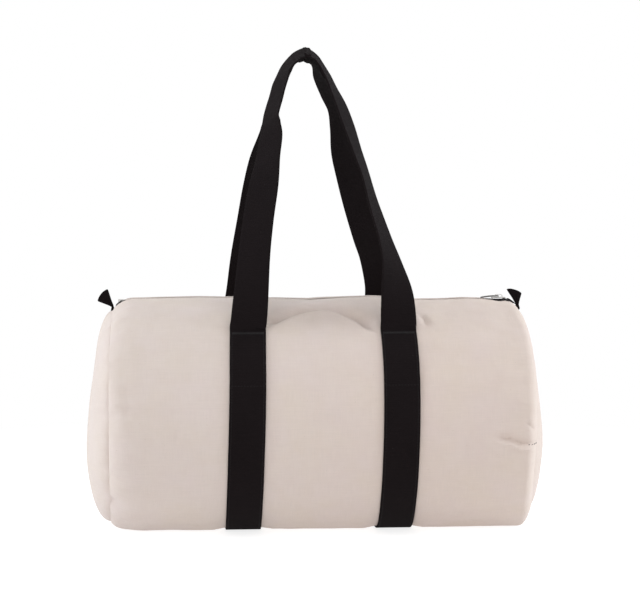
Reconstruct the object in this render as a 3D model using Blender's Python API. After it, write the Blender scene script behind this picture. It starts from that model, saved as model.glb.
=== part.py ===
"""A canvas barrel holdall, standing on the ground, with a zip along its top and two webbing carrying loops.

X runs along the barrel, Y from the front to the back and Z up. The origin is on the ground under the
middle of the bag. Angles round the barrel are measured at its axis from straight up, towards the back.
"""

import math

import bmesh
import bpy
from mathutils import Vector

# The body
SEAM_LENGTH = 0.455
BARREL_RADIUS = 0.1243
BARREL_SAG_DEPTH = 0.0085
SEAM_DRAW_DEPTH = 0.013
TOP_SHOULDER_LENGTH = 0.015
LOW_SHOULDER_LENGTH = 0.038
CANVAS_THICKNESS = 0.0012
ROUND_ANGLE = math.radians(52)
SAG_ANGLE = math.radians(130)
GAP = 0.0003

# The end panels and the binding of their seams
END_BULGE_DEPTH = 0.0172
END_SAG_SHARE = 0.22
END_INSET_DEPTH = 0.001
SEAM_ALLOWANCE_WIDTH = 0.006
BINDING_WIDTH = 0.0065
BINDING_THICKNESS = 0.003

# The mouth and its two moving panels
MOUTH_HALF_WIDTH = 0.0532
PANEL_LAP_WIDTH = 0.0066
PANEL_EDGE_OFFSET = 0.0099
PANEL_CLEARANCE = 0.0005

# The zip
TAPE_WIDTH = 0.0145
TAPE_THICKNESS = 0.0008
TAPE_GAP = 0.0004
COIL_WIDTH = 0.003
COIL_HEIGHT = 0.0026
COIL_PARTING_GAP = 0.0002
COIL_LEAD_LENGTH = 0.011
STOP_LENGTH = 0.0015
BOTTOM_STOP_LENGTH = 0.006
BOTTOM_STOP_TUCK_LENGTH = 0.002
SLIDER_LENGTH = 0.016
SLIDER_FRONT_WIDTH = 0.011
SLIDER_BACK_WIDTH = 0.008
SLIDER_CORNER_RADIUS = 0.0015
SLIDER_PLATE_THICKNESS = 0.0012
SLIDER_POST_LENGTH = 0.003
SLIDER_POST_WIDTH = 0.002
SLIDER_POST_INSET_LENGTH = 0.0005
BRIDGE_LENGTH = 0.009
BRIDGE_WIDTH = 0.002
BRIDGE_THICKNESS = 0.001
PULL_WIRE_DIAMETER = 0.0012
PULL_WIDTH = 0.008
PULL_LENGTH = 0.020
PULL_CLEARANCE = 0.0004

# The webbing
STRAP_OFFSET = 0.0805
STRAP_WIDTH = 0.038
STRAP_THICKNESS = 0.0018
CINCH_MARGIN_WIDTH = 0.001
CINCH_FADE_WIDTH = 0.012
SUNK_ANGLE = math.radians(80)
HINGE_ANGLE = math.radians(42.5)
HANDLE_RISE_HEIGHT = 0.2654
HANDLE_APEX_OFFSET = -0.010
HANDLE_GAP = 0.001
APEX_TILT = math.radians(18)
TACK_LENGTH = 0.0028
TACK_THICKNESS = 0.0004
TACK_OFFSET = 0.0025
TACK_MARGIN_WIDTH = 0.003

# The covers and tabs at the zip's ends
COVER_HALF_WIDTH = 0.013
COVER_THICKNESS = 0.0014
COVER_START_SHARE = 0.95
COVER_END_SHARE = 0.45
TAB_NECK_WIDTH = 0.0026
TAB_NECK_DEPTH = 0.0075
TAB_END_WIDTH = 0.0155
TAB_END_DEPTH = 0.0052
LEFT_TAB_LENGTH = 0.0165
RIGHT_TAB_LENGTH = 0.0195
LEFT_TAB_LEAN = math.radians(30)
RIGHT_TAB_LEAN = math.radians(-10)

# Where the grid lines of the canvas lie on a shoulder, from the start of its curve to the seam
SHOULDER_SHARES = (0.75, 0.45, 0.2, 0.05, 0.0)

# The rings of an end panel, from its middle to its rim
END_RING_SHARES = (0.45, 0.75, 0.93, 1.0)

# The rings of a tab from neck to end: share of the length, of the growth in width, of the change in depth
TAB_RING_SHARES = (
    (0.0, 0.0, 0.0),
    (0.3, 0.04, 0.35),
    (0.5, 0.16, 0.6),
    (0.7, 0.55, 0.8),
    (0.86, 0.9, 0.9),
    (0.95, 1.0, 1.0),
    (1.0, 0.93, 0.55),
)

# The handles' legs from hinge to apex: share of the height, then for the front handle and for the rear one
# the share of the way in to the apex and the share of a quarter turn that the webbing has twisted
LEFT_LEG_SHARES = (
    (0.0, 0.0, 0.0, 0.0, 0.0),
    (0.04, 0.024, 0.02, 0.022, 0.015),
    (0.13, 0.086, 0.20, 0.067, 0.14),
    (0.26, 0.149, 0.345, 0.108, 0.32),
    (0.39, 0.217, 0.39, 0.187, 0.386),
    (0.51, 0.302, 0.435, 0.259, 0.442),
    (0.61, 0.374, 0.60, 0.329, 0.538),
    (0.69, 0.424, 0.63, 0.414, 0.67),
    (0.735, 0.424, 0.70, 0.455, 0.742),
    (0.77, 0.435, 0.82, 0.487, 0.785),
    (0.83, 0.508, 0.844, 0.554, 0.835),
    (0.89, 0.583, 0.86, 0.644, 0.90),
    (0.94, 0.674, 0.96, 0.741, 0.97),
    (0.98, 0.83, 1.0, 0.845, 1.0),
    (1.0, 1.0, 1.0, 1.0, 1.0),
)
RIGHT_LEG_SHARES = (
    (0.0, 0.0, 0.0, 0.0, 0.0),
    (0.04, -0.008, 0.02, -0.006, 0.015),
    (0.13, -0.007, 0.24, -0.006, 0.20),
    (0.23, 0.037, 0.582, 0.092, 0.475),
    (0.32, 0.105, 0.785, 0.209, 0.538),
    (0.44, 0.219, 0.875, 0.338, 0.562),
    (0.55, 0.329, 0.875, 0.441, 0.594),
    (0.64, 0.431, 0.84, 0.513, 0.626),
    (0.73, 0.524, 0.80, 0.552, 0.707),
    (0.80, 0.603, 0.82, 0.607, 0.813),
    (0.86, 0.688, 0.89, 0.715, 0.88),
    (0.92, 0.777, 0.94, 0.82, 0.96),
    (0.97, 0.88, 1.0, 0.88, 1.0),
    (1.0, 1.0, 1.0, 1.0, 1.0),
)

MOUTH_FACETS = 4
TOP_FACETS = 5
LOW_FACETS = 14
PANEL_FACETS = 4
TAPE_FACETS = 2
LEG_STEPS = 2
WIRE_SIDES = 8
PULL_ROUND_STEPS = 6
CORNER_STEPS = 3
SMOOTH_LIMIT = math.radians(35)

HALF_LENGTH = SEAM_LENGTH / 2
AXIS_HEIGHT = BARREL_RADIUS
SEAM_RADIUS = BARREL_RADIUS - SEAM_DRAW_DEPTH
MOUTH_ANGLE = MOUTH_HALF_WIDTH / BARREL_RADIUS
STRAIGHT_END = HALF_LENGTH - TOP_SHOULDER_LENGTH
PANEL_END = STRAIGHT_END - PANEL_CLEARANCE
PANEL_DEPTH = CANVAS_THICKNESS + PANEL_CLEARANCE
TAPE_DEPTH = PANEL_DEPTH + CANVAS_THICKNESS + TAPE_GAP
TAPE_RADIUS = BARREL_RADIUS - TAPE_DEPTH
COIL_MIDDLE = AXIS_HEIGHT + TAPE_RADIUS - TAPE_THICKNESS / 2
COIL_OUTER = COIL_PARTING_GAP + COIL_WIDTH
SLIDER_END = PANEL_END - STOP_LENGTH - GAP
SLIDER_MIDDLE = SLIDER_END - SLIDER_LENGTH / 2
POST_MIDDLE = SLIDER_END - SLIDER_POST_INSET_LENGTH - SLIDER_POST_LENGTH / 2
COIL_END = POST_MIDDLE - SLIDER_POST_LENGTH / 2 - COIL_LEAD_LENGTH
SLIDER_GAP_HALF = COIL_HEIGHT / 2 + GAP
SLIDER_TOP = COIL_MIDDLE + SLIDER_GAP_HALF + SLIDER_PLATE_THICKNESS
PULL_HEIGHT = SLIDER_TOP + PULL_CLEARANCE + PULL_WIRE_DIAMETER / 2
STRAP_STEP = STRAP_THICKNESS + GAP
PIVOT_RADIUS = BARREL_RADIUS + STRAP_STEP
PIVOT_Y = PIVOT_RADIUS * math.sin(HINGE_ANGLE)
PIVOT_HEIGHT = AXIS_HEIGHT + PIVOT_RADIUS * math.cos(HINGE_ANGLE)
APEX_Y = (STRAP_WIDTH * math.cos(APEX_TILT) + HANDLE_GAP) / 2 + STRAP_THICKNESS
APEX_HEIGHT = AXIS_HEIGHT + BARREL_RADIUS + HANDLE_RISE_HEIGHT


def clear_scene():
    """Takes away whatever the scene holds."""
    for obj in list(bpy.data.objects):
        bpy.data.objects.remove(obj, do_unlink=True)


def smooth(share):
    """A share held between 0 and 1 and eased at both ends."""
    share = min(max(share, 0), 1)
    return share * share * (3 - 2 * share)


def spread(start, end, count):
    """Values from start to end in equal steps, both included."""
    return [start + (end - start) * step / count for step in range(count + 1)]


def material(name, colour, roughness, metallic=0):
    """A plain finish in the piece's own colour."""
    made = bpy.data.materials.new(name)
    made.use_nodes = True
    shader = made.node_tree.nodes["Principled BSDF"]
    shader.inputs["Base Color"].default_value = (*colour, 1)
    shader.inputs["Roughness"].default_value = roughness
    shader.inputs["Metallic"].default_value = metallic
    return made


def joint_axis(name, place):
    """An empty on a joint's axis, which carries the pieces that move about it."""
    empty = bpy.data.objects.new(name, None)
    empty.location = place
    bpy.context.scene.collection.objects.link(empty)
    return empty


def add_piece(name, points, faces, finish, carrier=None):
    """An object from world points, with its origin on its carrier or on the barrel's axis."""
    origin = Vector(carrier.location) if carrier else Vector((0, 0, AXIS_HEIGHT))
    mesh = bpy.data.meshes.new(name)
    mesh.from_pydata([Vector(point) - origin for point in points], [], faces)
    shape = bmesh.new()
    shape.from_mesh(mesh)
    bmesh.ops.recalc_face_normals(shape, faces=shape.faces)
    shape.to_mesh(mesh)
    shape.free()
    mesh.shade_smooth()
    mesh.set_sharp_from_angle(angle=SMOOTH_LIMIT)
    mesh.materials.append(finish)
    piece = bpy.data.objects.new(name, mesh)
    bpy.context.scene.collection.objects.link(piece)
    if carrier:
        piece.parent = carrier
    else:
        piece.location = origin
    return piece


def loft(rings, closed=False):
    """Points and faces of a closed skin through rings of equal count; a ring of one point is a pole."""
    points = []
    starts = []
    for ring in rings:
        starts.append(len(points))
        points.extend(ring)
    faces = []
    pairs = list(zip(range(len(rings)), range(1, len(rings))))
    if closed:
        pairs.append((len(rings) - 1, 0))
    for near, far in pairs:
        count = max(len(rings[near]), len(rings[far]))
        for step in range(count):
            corners = []
            for ring, turn in ((near, step), (near, step + 1), (far, step + 1), (far, step)):
                corner = starts[ring] + turn % len(rings[ring])
                if corner not in corners:
                    corners.append(corner)
            faces.append(corners)
    if not closed:
        for ring in (0, len(rings) - 1):
            if len(rings[ring]) > 1:
                faces.append([starts[ring] + step for step in range(len(rings[ring]))])
    return points, faces


def sheet(outer, inner, present=None, wraps=False):
    """Points and faces of a sheet with a thickness, from two grids of points and a test for its cells."""
    columns, rows = len(outer), len(outer[0])
    points = [point for column in outer for point in column]
    points += [point for column in inner for point in column]
    below = columns * rows
    last = columns if wraps else columns - 1

    def here(column, row):
        if not 0 <= row < rows - 1 or not (wraps or 0 <= column < last):
            return False
        return present is None or present(column % columns, row)

    faces = []
    for column in range(last):
        for row in range(rows - 1):
            if not here(column, row):
                continue
            after = (column + 1) % columns
            a, b = column * rows + row, after * rows + row
            c, d = after * rows + row + 1, column * rows + row + 1
            faces.append((a, b, c, d))
            faces.append((a + below, d + below, c + below, b + below))
            for near, far, beside in (
                (a, b, (column, row - 1)),
                (b, c, (column + 1, row)),
                (c, d, (column, row + 1)),
                (d, a, (column - 1, row)),
            ):
                if not here(*beside):
                    faces.append((near, near + below, far + below, far))
    used = sorted({corner for face in faces for corner in face})
    place = {corner: number for number, corner in enumerate(used)}
    return [points[corner] for corner in used], [[place[c] for c in face] for face in faces]


def shoulder_length(angle):
    """How much of the canvas's length draws in towards the seam."""
    low = smooth((abs(angle) - ROUND_ANGLE) / (math.pi - ROUND_ANGLE))
    return TOP_SHOULDER_LENGTH + (LOW_SHOULDER_LENGTH - TOP_SHOULDER_LENGTH) * low


def canvas_radius(x, angle):
    """Distance from the axis to the outside of the stuffed canvas, before the ground presses it."""
    low = smooth((abs(angle) - ROUND_ANGLE) / (SAG_ANGLE - ROUND_ANGLE))
    full = BARREL_RADIUS + BARREL_SAG_DEPTH * low
    drawn_in = 1 - (HALF_LENGTH - abs(x)) / shoulder_length(angle)
    drawn_in = min(max(drawn_in, 0), 1)
    return full - (full - SEAM_RADIUS) * (1 - math.sqrt(1 - drawn_in * drawn_in))


def sunk(angle):
    """Share by which a strap is let into the canvas, from none near the zip to all of it low down."""
    return smooth((abs(angle) - ROUND_ANGLE) / (SUNK_ANGLE - ROUND_ANGLE))


def cinch(x, angle):
    """How far a strap draws the canvas in."""
    beside = abs(abs(x) - STRAP_OFFSET) - STRAP_WIDTH / 2 - CINCH_MARGIN_WIDTH
    near = 1 - min(max(beside / CINCH_FADE_WIDTH, 0), 1)
    return STRAP_STEP * near * sunk(angle)


def on_canvas(x, angle, depth):
    """The point a depth inside the canvas's outer face, never lower than that depth over the ground."""
    radius = canvas_radius(x, angle) - depth
    height = max(AXIS_HEIGHT + radius * math.cos(angle), depth)
    return Vector((x, radius * math.sin(angle), height))


def wrapped_sheet(stations, angles, outer_depth, thickness, present=None, wraps=False):
    """A sheet that follows the canvas; stations gives the places along X at one angle."""
    outer = []
    inner = []
    for angle in angles:
        places = stations(angle)
        depths = [outer_depth(x, angle) for x in places]
        outer.append([on_canvas(x, angle, d) for x, d in zip(places, depths)])
        inner.append([on_canvas(x, angle, d + thickness) for x, d in zip(places, depths)])
    return sheet(outer, inner, present, wraps)


def canvas_stations(angle):
    """Places along the barrel where the canvas changes its slope."""
    inner_edge = STRAP_OFFSET - STRAP_WIDTH / 2 - CINCH_MARGIN_WIDTH
    outer_edge = STRAP_OFFSET + STRAP_WIDTH / 2 + CINCH_MARGIN_WIDTH
    shoulder = shoulder_length(angle)
    half = [inner_edge - CINCH_FADE_WIDTH, inner_edge, outer_edge, outer_edge + CINCH_FADE_WIDTH]
    half.append(HALF_LENGTH - shoulder)
    half += [HALF_LENGTH - share * shoulder for share in SHOULDER_SHARES]
    return [-x for x in reversed(half)] + [0] + half


def half_angles():
    """Angles from straight up to straight down, close together near the zip."""
    angles = spread(0, MOUTH_ANGLE, MOUTH_FACETS)
    angles += spread(MOUTH_ANGLE, ROUND_ANGLE, TOP_FACETS)[1:]
    angles += spread(ROUND_ANGLE, math.pi, LOW_FACETS)[1:]
    return angles


def round_angles():
    """Angles once round the barrel, starting at the bottom."""
    half = half_angles()
    return [-angle for angle in reversed(half[1:])] + half[:-1]


def barrel_canvas(finish):
    """The body canvas, with a wide mouth that the moving panels close."""
    angles = round_angles()
    places = canvas_stations(0)

    def present(column, row):
        middle = (angles[column] + angles[(column + 1) % len(angles)]) / 2
        in_mouth = abs(middle) < MOUTH_ANGLE and column + 1 < len(angles)
        return not (in_mouth and abs(places[row] + places[row + 1]) / 2 < STRAIGHT_END)

    shape = wrapped_sheet(canvas_stations, angles, cinch, CANVAS_THICKNESS, present, wraps=True)
    add_piece("barrel_canvas", *shape, finish)


def end_panel(name, side, finish):
    """A round end panel: it bulges most below its middle, and its rim is turned in along the barrel."""
    rim = SEAM_RADIUS - CANVAS_THICKNESS - GAP
    rim_x = HALF_LENGTH - END_INSET_DEPTH

    def ring(share, radius, depth):
        points = []
        for angle in round_angles():
            low = -share * math.cos(angle)
            bulge = END_BULGE_DEPTH * math.sqrt(1 - share * share) * (1 + END_SAG_SHARE * low)
            across = radius * share
            x = side * (rim_x + bulge - depth)
            points.append((x, across * math.sin(angle), AXIS_HEIGHT + across * math.cos(angle)))
        return points

    def turned_edge(radius):
        x = side * (rim_x - SEAM_ALLOWANCE_WIDTH)
        return [
            (x, radius * math.sin(angle), AXIS_HEIGHT + radius * math.cos(angle))
            for angle in round_angles()
        ]

    def pole(depth):
        return [(side * (rim_x + END_BULGE_DEPTH - depth), 0, AXIS_HEIGHT)]

    within = rim - CANVAS_THICKNESS
    rings = [pole(0)]
    rings += [ring(share, rim, 0) for share in END_RING_SHARES]
    rings += [turned_edge(rim), turned_edge(within)]
    rings += [ring(share, within, CANVAS_THICKNESS) for share in reversed(END_RING_SHARES)]
    rings.append(pole(CANVAS_THICKNESS))
    add_piece(name, *loft(rings), finish)


def seam_binding(name, side, finish):
    """The tape that binds the raw edges inside an end seam."""
    outer = SEAM_RADIUS - CANVAS_THICKNESS - GAP - CANVAS_THICKNESS - GAP
    inner = outer - BINDING_THICKNESS
    far = side * (HALF_LENGTH - END_INSET_DEPTH - CANVAS_THICKNESS - GAP)
    near = far - side * BINDING_WIDTH
    rings = []
    for radius, x in ((outer, far), (outer, near), (inner, near), (inner, far)):
        rings.append(
            [
                (x, radius * math.sin(angle), AXIS_HEIGHT + radius * math.cos(angle))
                for angle in round_angles()
            ]
        )
    add_piece(name, *loft(rings, closed=True), finish)


def strap_band(name, side, finish):
    """A strap sewn round the body, from the front handle's hinge under the bag to the rear one's."""
    half = [angle for angle in half_angles() if angle > HINGE_ANGLE]
    start = HINGE_ANGLE + GAP / PIVOT_RADIUS
    angles = [start] + half + [math.tau - angle for angle in reversed(half[:-1])] + [math.tau - start]
    turns = [angle if angle <= math.pi else angle - math.tau for angle in angles]
    places = [side * STRAP_OFFSET - STRAP_WIDTH / 2, side * STRAP_OFFSET + STRAP_WIDTH / 2]
    shape = wrapped_sheet(
        lambda _angle: places,
        turns,
        lambda _x, angle: -STRAP_STEP * (1 - sunk(angle)),
        STRAP_THICKNESS,
    )
    add_piece(name, *shape, finish)


def bar_tack(name, side, face, finish):
    """One of the tacks that fasten the webbing where it leaves the body."""
    start = HINGE_ANGLE + TACK_OFFSET / PIVOT_RADIUS
    end = start + TACK_LENGTH / PIVOT_RADIUS
    reach = STRAP_WIDTH / 2 - TACK_MARGIN_WIDTH
    depth = -STRAP_STEP - GAP - TACK_THICKNESS
    places = [side * STRAP_OFFSET - reach, side * STRAP_OFFSET + reach]
    shape = wrapped_sheet(
        lambda _angle: places, [face * start, face * end], lambda _x, _angle: depth, TACK_THICKNESS
    )
    add_piece(name, *shape, finish)


def mouth_strip(face, angles, depth, thickness):
    """Points and faces of a strip along the mouth, on one side of the zip, between angles from the top."""
    turns = [face * angle for angle in angles]
    return wrapped_sheet(
        lambda _angle: [-PANEL_END, PANEL_END], turns, lambda _x, _angle: depth, thickness
    )


def block(x_ends, y_ends, z_ends):
    """Points and faces of a six-sided block."""
    rings = []
    for x in x_ends:
        low, high = z_ends
        near, far = y_ends
        rings.append([(x, near, low), (x, far, low), (x, far, high), (x, near, high)])
    return loft(rings)


def zip_half(word, face, canvas, tape, nylon, metal, carrier):
    """One moving side of the mouth: its canvas, tape, teeth and top stop."""
    panel_start = PANEL_EDGE_OFFSET / BARREL_RADIUS
    panel_end = MOUTH_ANGLE + PANEL_LAP_WIDTH / BARREL_RADIUS
    panel_angles = spread(panel_start, panel_end, PANEL_FACETS)
    panel_shape = mouth_strip(face, panel_angles, PANEL_DEPTH, CANVAS_THICKNESS)
    add_piece(f"{word}_mouth_panel", *panel_shape, canvas, carrier)
    tape_start = (COIL_OUTER + GAP) / TAPE_RADIUS
    tape_angles = spread(tape_start, tape_start + TAPE_WIDTH / TAPE_RADIUS, TAPE_FACETS)
    tape_shape = mouth_strip(face, tape_angles, TAPE_DEPTH, TAPE_THICKNESS)
    add_piece(f"{word}_zip_tape", *tape_shape, tape, carrier)
    sides = [face * COIL_PARTING_GAP, face * COIL_OUTER]
    levels = [COIL_MIDDLE - COIL_HEIGHT / 2, COIL_MIDDLE + COIL_HEIGHT / 2]
    coil_start = BOTTOM_STOP_LENGTH - BOTTOM_STOP_TUCK_LENGTH + GAP - STRAIGHT_END
    add_piece(f"{word}_zip_coil", *block([coil_start, COIL_END], sides, levels), nylon, carrier)
    stop_ends = [PANEL_END - STOP_LENGTH, PANEL_END]
    add_piece(f"{word}_top_stop", *block(stop_ends, sides, levels), metal, carrier)


def bottom_stop(finish):
    """The stop that holds both rows of teeth, tucked under the canvas at the zip's left end."""
    start = -STRAIGHT_END - BOTTOM_STOP_TUCK_LENGTH
    ends = [start, start + BOTTOM_STOP_LENGTH]
    low = COIL_MIDDLE - COIL_HEIGHT / 2
    high = AXIS_HEIGHT + BARREL_RADIUS - CANVAS_THICKNESS - PANEL_CLEARANCE
    shape = block(ends, [-COIL_OUTER, COIL_OUTER], [low, high])
    add_piece("bottom_stop", *shape, finish)


def slider_outline(height):
    """The outline of a slider plate from above, wider at its leading end."""
    points = []
    half = SLIDER_LENGTH / 2 - SLIDER_CORNER_RADIUS
    for sign_x, sign_y, first in ((1, 1, 0), (-1, 1, 1), (-1, -1, 2), (1, -1, 3)):
        width = SLIDER_FRONT_WIDTH if sign_x > 0 else SLIDER_BACK_WIDTH
        centre_y = sign_y * (width / 2 - SLIDER_CORNER_RADIUS)
        for step in range(CORNER_STEPS + 1):
            turn = math.pi / 2 * (first + step / CORNER_STEPS)
            x = SLIDER_MIDDLE + sign_x * half + SLIDER_CORNER_RADIUS * math.cos(turn)
            points.append((x, centre_y + SLIDER_CORNER_RADIUS * math.sin(turn), height))
    return points


def post_outline(height):
    """The outline of the slider's post, with a point for each point of the plates."""
    points = []
    for sign_x, sign_y, first in ((1, 1, 0), (-1, 1, 1), (-1, -1, 2), (1, -1, 3)):
        for step in range(CORNER_STEPS + 1):
            share = step / CORNER_STEPS
            along = 1 if first % 2 == 0 else 1 - share
            across = share if first % 2 == 0 else 1
            x = POST_MIDDLE + sign_x * SLIDER_POST_LENGTH / 2 * along
            points.append((x, sign_y * SLIDER_POST_WIDTH / 2 * across, height))
    return points


def slider_body(finish, carrier):
    """Two plates joined by the post that parts the teeth."""
    low_inner = COIL_MIDDLE - SLIDER_GAP_HALF
    high_inner = COIL_MIDDLE + SLIDER_GAP_HALF
    rings = [
        slider_outline(low_inner - SLIDER_PLATE_THICKNESS),
        slider_outline(low_inner),
        post_outline(low_inner),
        post_outline(high_inner),
        slider_outline(high_inner),
        slider_outline(SLIDER_TOP),
    ]
    add_piece("slider_body", *loft(rings), finish, carrier)


def slider_bridge(finish, carrier):
    """The arch on the slider that its pull turns in."""
    foot = SLIDER_TOP + GAP
    crown = PULL_HEIGHT + PULL_WIRE_DIAMETER / 2 + PULL_CLEARANCE + BRIDGE_THICKNESS
    half = BRIDGE_LENGTH / 2
    outer = [(-half, foot), (-half, crown - BRIDGE_THICKNESS), (-half + BRIDGE_THICKNESS, crown)]
    outer += [(-x, z) for x, z in reversed(outer)]
    inner_top = crown - BRIDGE_THICKNESS
    inner_half = half - BRIDGE_THICKNESS
    inner = [(-inner_half, foot), (-inner_half, inner_top - BRIDGE_THICKNESS)]
    inner += [(-inner_half + BRIDGE_THICKNESS, inner_top)]
    inner += [(-x, z) for x, z in reversed(inner)]
    rings = []
    for (outer_x, outer_z), (inner_x, inner_z) in zip(outer, inner):
        ring = []
        for x, z, y in (
            (outer_x, outer_z, -BRIDGE_WIDTH / 2),
            (outer_x, outer_z, BRIDGE_WIDTH / 2),
            (inner_x, inner_z, BRIDGE_WIDTH / 2),
            (inner_x, inner_z, -BRIDGE_WIDTH / 2),
        ):
            ring.append((SLIDER_MIDDLE + x, y, z))
        rings.append(ring)
    add_piece("slider_bridge", *loft(rings), finish, carrier)


def wire_pull(finish, carrier):
    """A wire loop that lies back along the closed zip and turns about its own near end."""
    half = PULL_WIDTH / 2 - PULL_WIRE_DIAMETER / 2
    straight = PULL_LENGTH - half
    path = [(0, -half), (0, half)]
    for step in range(PULL_ROUND_STEPS + 1):
        turn = math.pi * step / PULL_ROUND_STEPS
        path.append((-straight - half * math.sin(turn), half * math.cos(turn)))
    rings = []
    for number, (x, y) in enumerate(path):
        before = Vector(path[number - 1])
        after = Vector(path[(number + 1) % len(path)])
        here = Vector((x, y))
        into = (here - before).normalized()
        out = (after - here).normalized()
        side = Vector((into.y + out.y, -into.x - out.x)).normalized()
        stretch = 1 / side.dot(Vector((out.y, -out.x)))
        ring = []
        for step in range(WIRE_SIDES):
            turn = math.tau * (step + 0.5) / WIRE_SIDES
            across = PULL_WIRE_DIAMETER / 2 * math.cos(turn) * stretch
            ring.append(
                (
                    SLIDER_MIDDLE + x + side.x * across,
                    y + side.y * across,
                    PULL_HEIGHT + PULL_WIRE_DIAMETER / 2 * math.sin(turn),
                )
            )
        rings.append(ring)
    add_piece("wire_pull", *loft(rings, closed=True), finish, carrier)


def smooth_run(rows, steps):
    """Rows of numbers run through smoothly, with some steps between each two."""
    filled = []
    for number in range(len(rows) - 1):
        before = rows[max(number - 1, 0)]
        start, end = rows[number], rows[number + 1]
        after = rows[min(number + 2, len(rows) - 1)]
        for step in range(steps):
            t = step / steps
            row = []
            for a, b, c, d in zip(before, start, end, after):
                bend = (2 * a - 5 * b + 4 * c - d) * t + (3 * b - a - 3 * c + d) * t * t
                row.append(b + 0.5 * t * ((c - a) + bend))
            filled.append(row)
    filled.append(rows[-1])
    return filled


def leg_points(shares, side, face, column):
    """Centre points and width directions of one leg, from the hinge up to the apex."""
    hinge_x = side * STRAP_OFFSET
    run = []
    for row in smooth_run(shares, LEG_STEPS):
        rise, inward, twist = row[0], row[column], row[column + 1]
        x = hinge_x + (HANDLE_APEX_OFFSET - hinge_x) * inward
        y = face * (PIVOT_Y + (APEX_Y - PIVOT_Y) * rise)
        z = PIVOT_HEIGHT + (APEX_HEIGHT - PIVOT_HEIGHT) * rise
        turn = math.pi / 2 * twist
        tilt = APEX_TILT * twist
        level = math.sin(turn)
        width = Vector((math.cos(turn), -side * face * level, side * level * math.tan(tilt)))
        run.append((Vector((x, y, z)), width))
    return run


def handle(name, face, finish, carrier):
    """A carrying loop: flat on the body at its hinges, and turned face up where it is held."""
    column = 1 if face < 0 else 3
    left = leg_points(LEFT_LEG_SHARES, -1, face, column)
    right = leg_points(RIGHT_LEG_SHARES, 1, face, column)
    right = [(centre, -width) for centre, width in reversed(right)]
    run = left + right[1:]
    seat = Vector((0, -face, 0)) * STRAP_THICKNESS / 2
    rings = []
    for number, (centre, width) in enumerate(run):
        before = run[max(number - 1, 0)][0]
        after = run[min(number + 1, len(run) - 1)][0]
        along = (after - before).normalized()
        lift = Vector((0, 0, 0))
        if number in (0, len(run) - 1):
            along = Vector((0, along.y, along.z)).normalized()
            lift = along * GAP * (1 if number == 0 else -1)
            seat = Vector((0, -face * abs(along.z), -abs(along.y))) * STRAP_THICKNESS / 2
        across = (width - along * width.dot(along)).normalized() * (STRAP_WIDTH / 2)
        through = along.cross(across).normalized() * (STRAP_THICKNESS / 2)
        middle = centre + seat + lift
        rings.append(
            [
                middle - across - through,
                middle + across - through,
                middle + across + through,
                middle - across + through,
            ]
        )
    add_piece(name, *loft(rings), finish, carrier)


def end_tab(name, side, length, lean, finish):
    """A fan of folded webbing that stands in the end seam."""
    outward = length * math.sin(lean)
    upward = length * math.cos(lean)
    reach = TAB_NECK_WIDTH / 2
    base = Vector((side * (HALF_LENGTH + GAP + reach), 0, AXIS_HEIGHT + SEAM_RADIUS))
    rings = []
    for along, grown, changed in TAB_RING_SHARES:
        centre = base + Vector((side * outward * along * along, 0, upward * along))
        turned = lean * min(2 * along, 1)
        across = Vector((math.cos(turned), 0, -side * math.sin(turned)))
        width = (TAB_NECK_WIDTH + (TAB_END_WIDTH - TAB_NECK_WIDTH) * grown) / 2
        depth = (TAB_NECK_DEPTH + (TAB_END_DEPTH - TAB_NECK_DEPTH) * changed) / 2
        forward = Vector((0, depth, 0))
        rings.append(
            [
                centre - across * width - forward,
                centre + across * width - forward,
                centre + across * width + forward,
                centre - across * width + forward,
            ]
        )
    add_piece(name, *loft(rings), finish)


def zip_end_cover(name, side, finish):
    """The patch that covers an end of the zip on the shoulder of the canvas."""
    reach = COVER_HALF_WIDTH / BARREL_RADIUS
    facet = MOUTH_ANGLE / MOUTH_FACETS
    angles = [-reach] + [turn for turn in (-facet, 0, facet) if abs(turn) < reach] + [reach]
    shares = [COVER_START_SHARE]
    shares += [share for share in SHOULDER_SHARES if COVER_END_SHARE <= share < COVER_START_SHARE]
    places = [side * (HALF_LENGTH - share * TOP_SHOULDER_LENGTH) for share in shares]
    shape = wrapped_sheet(
        lambda _angle: places,
        angles,
        lambda _x, _angle: -GAP - COVER_THICKNESS,
        COVER_THICKNESS,
    )
    add_piece(name, *shape, finish)


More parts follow.
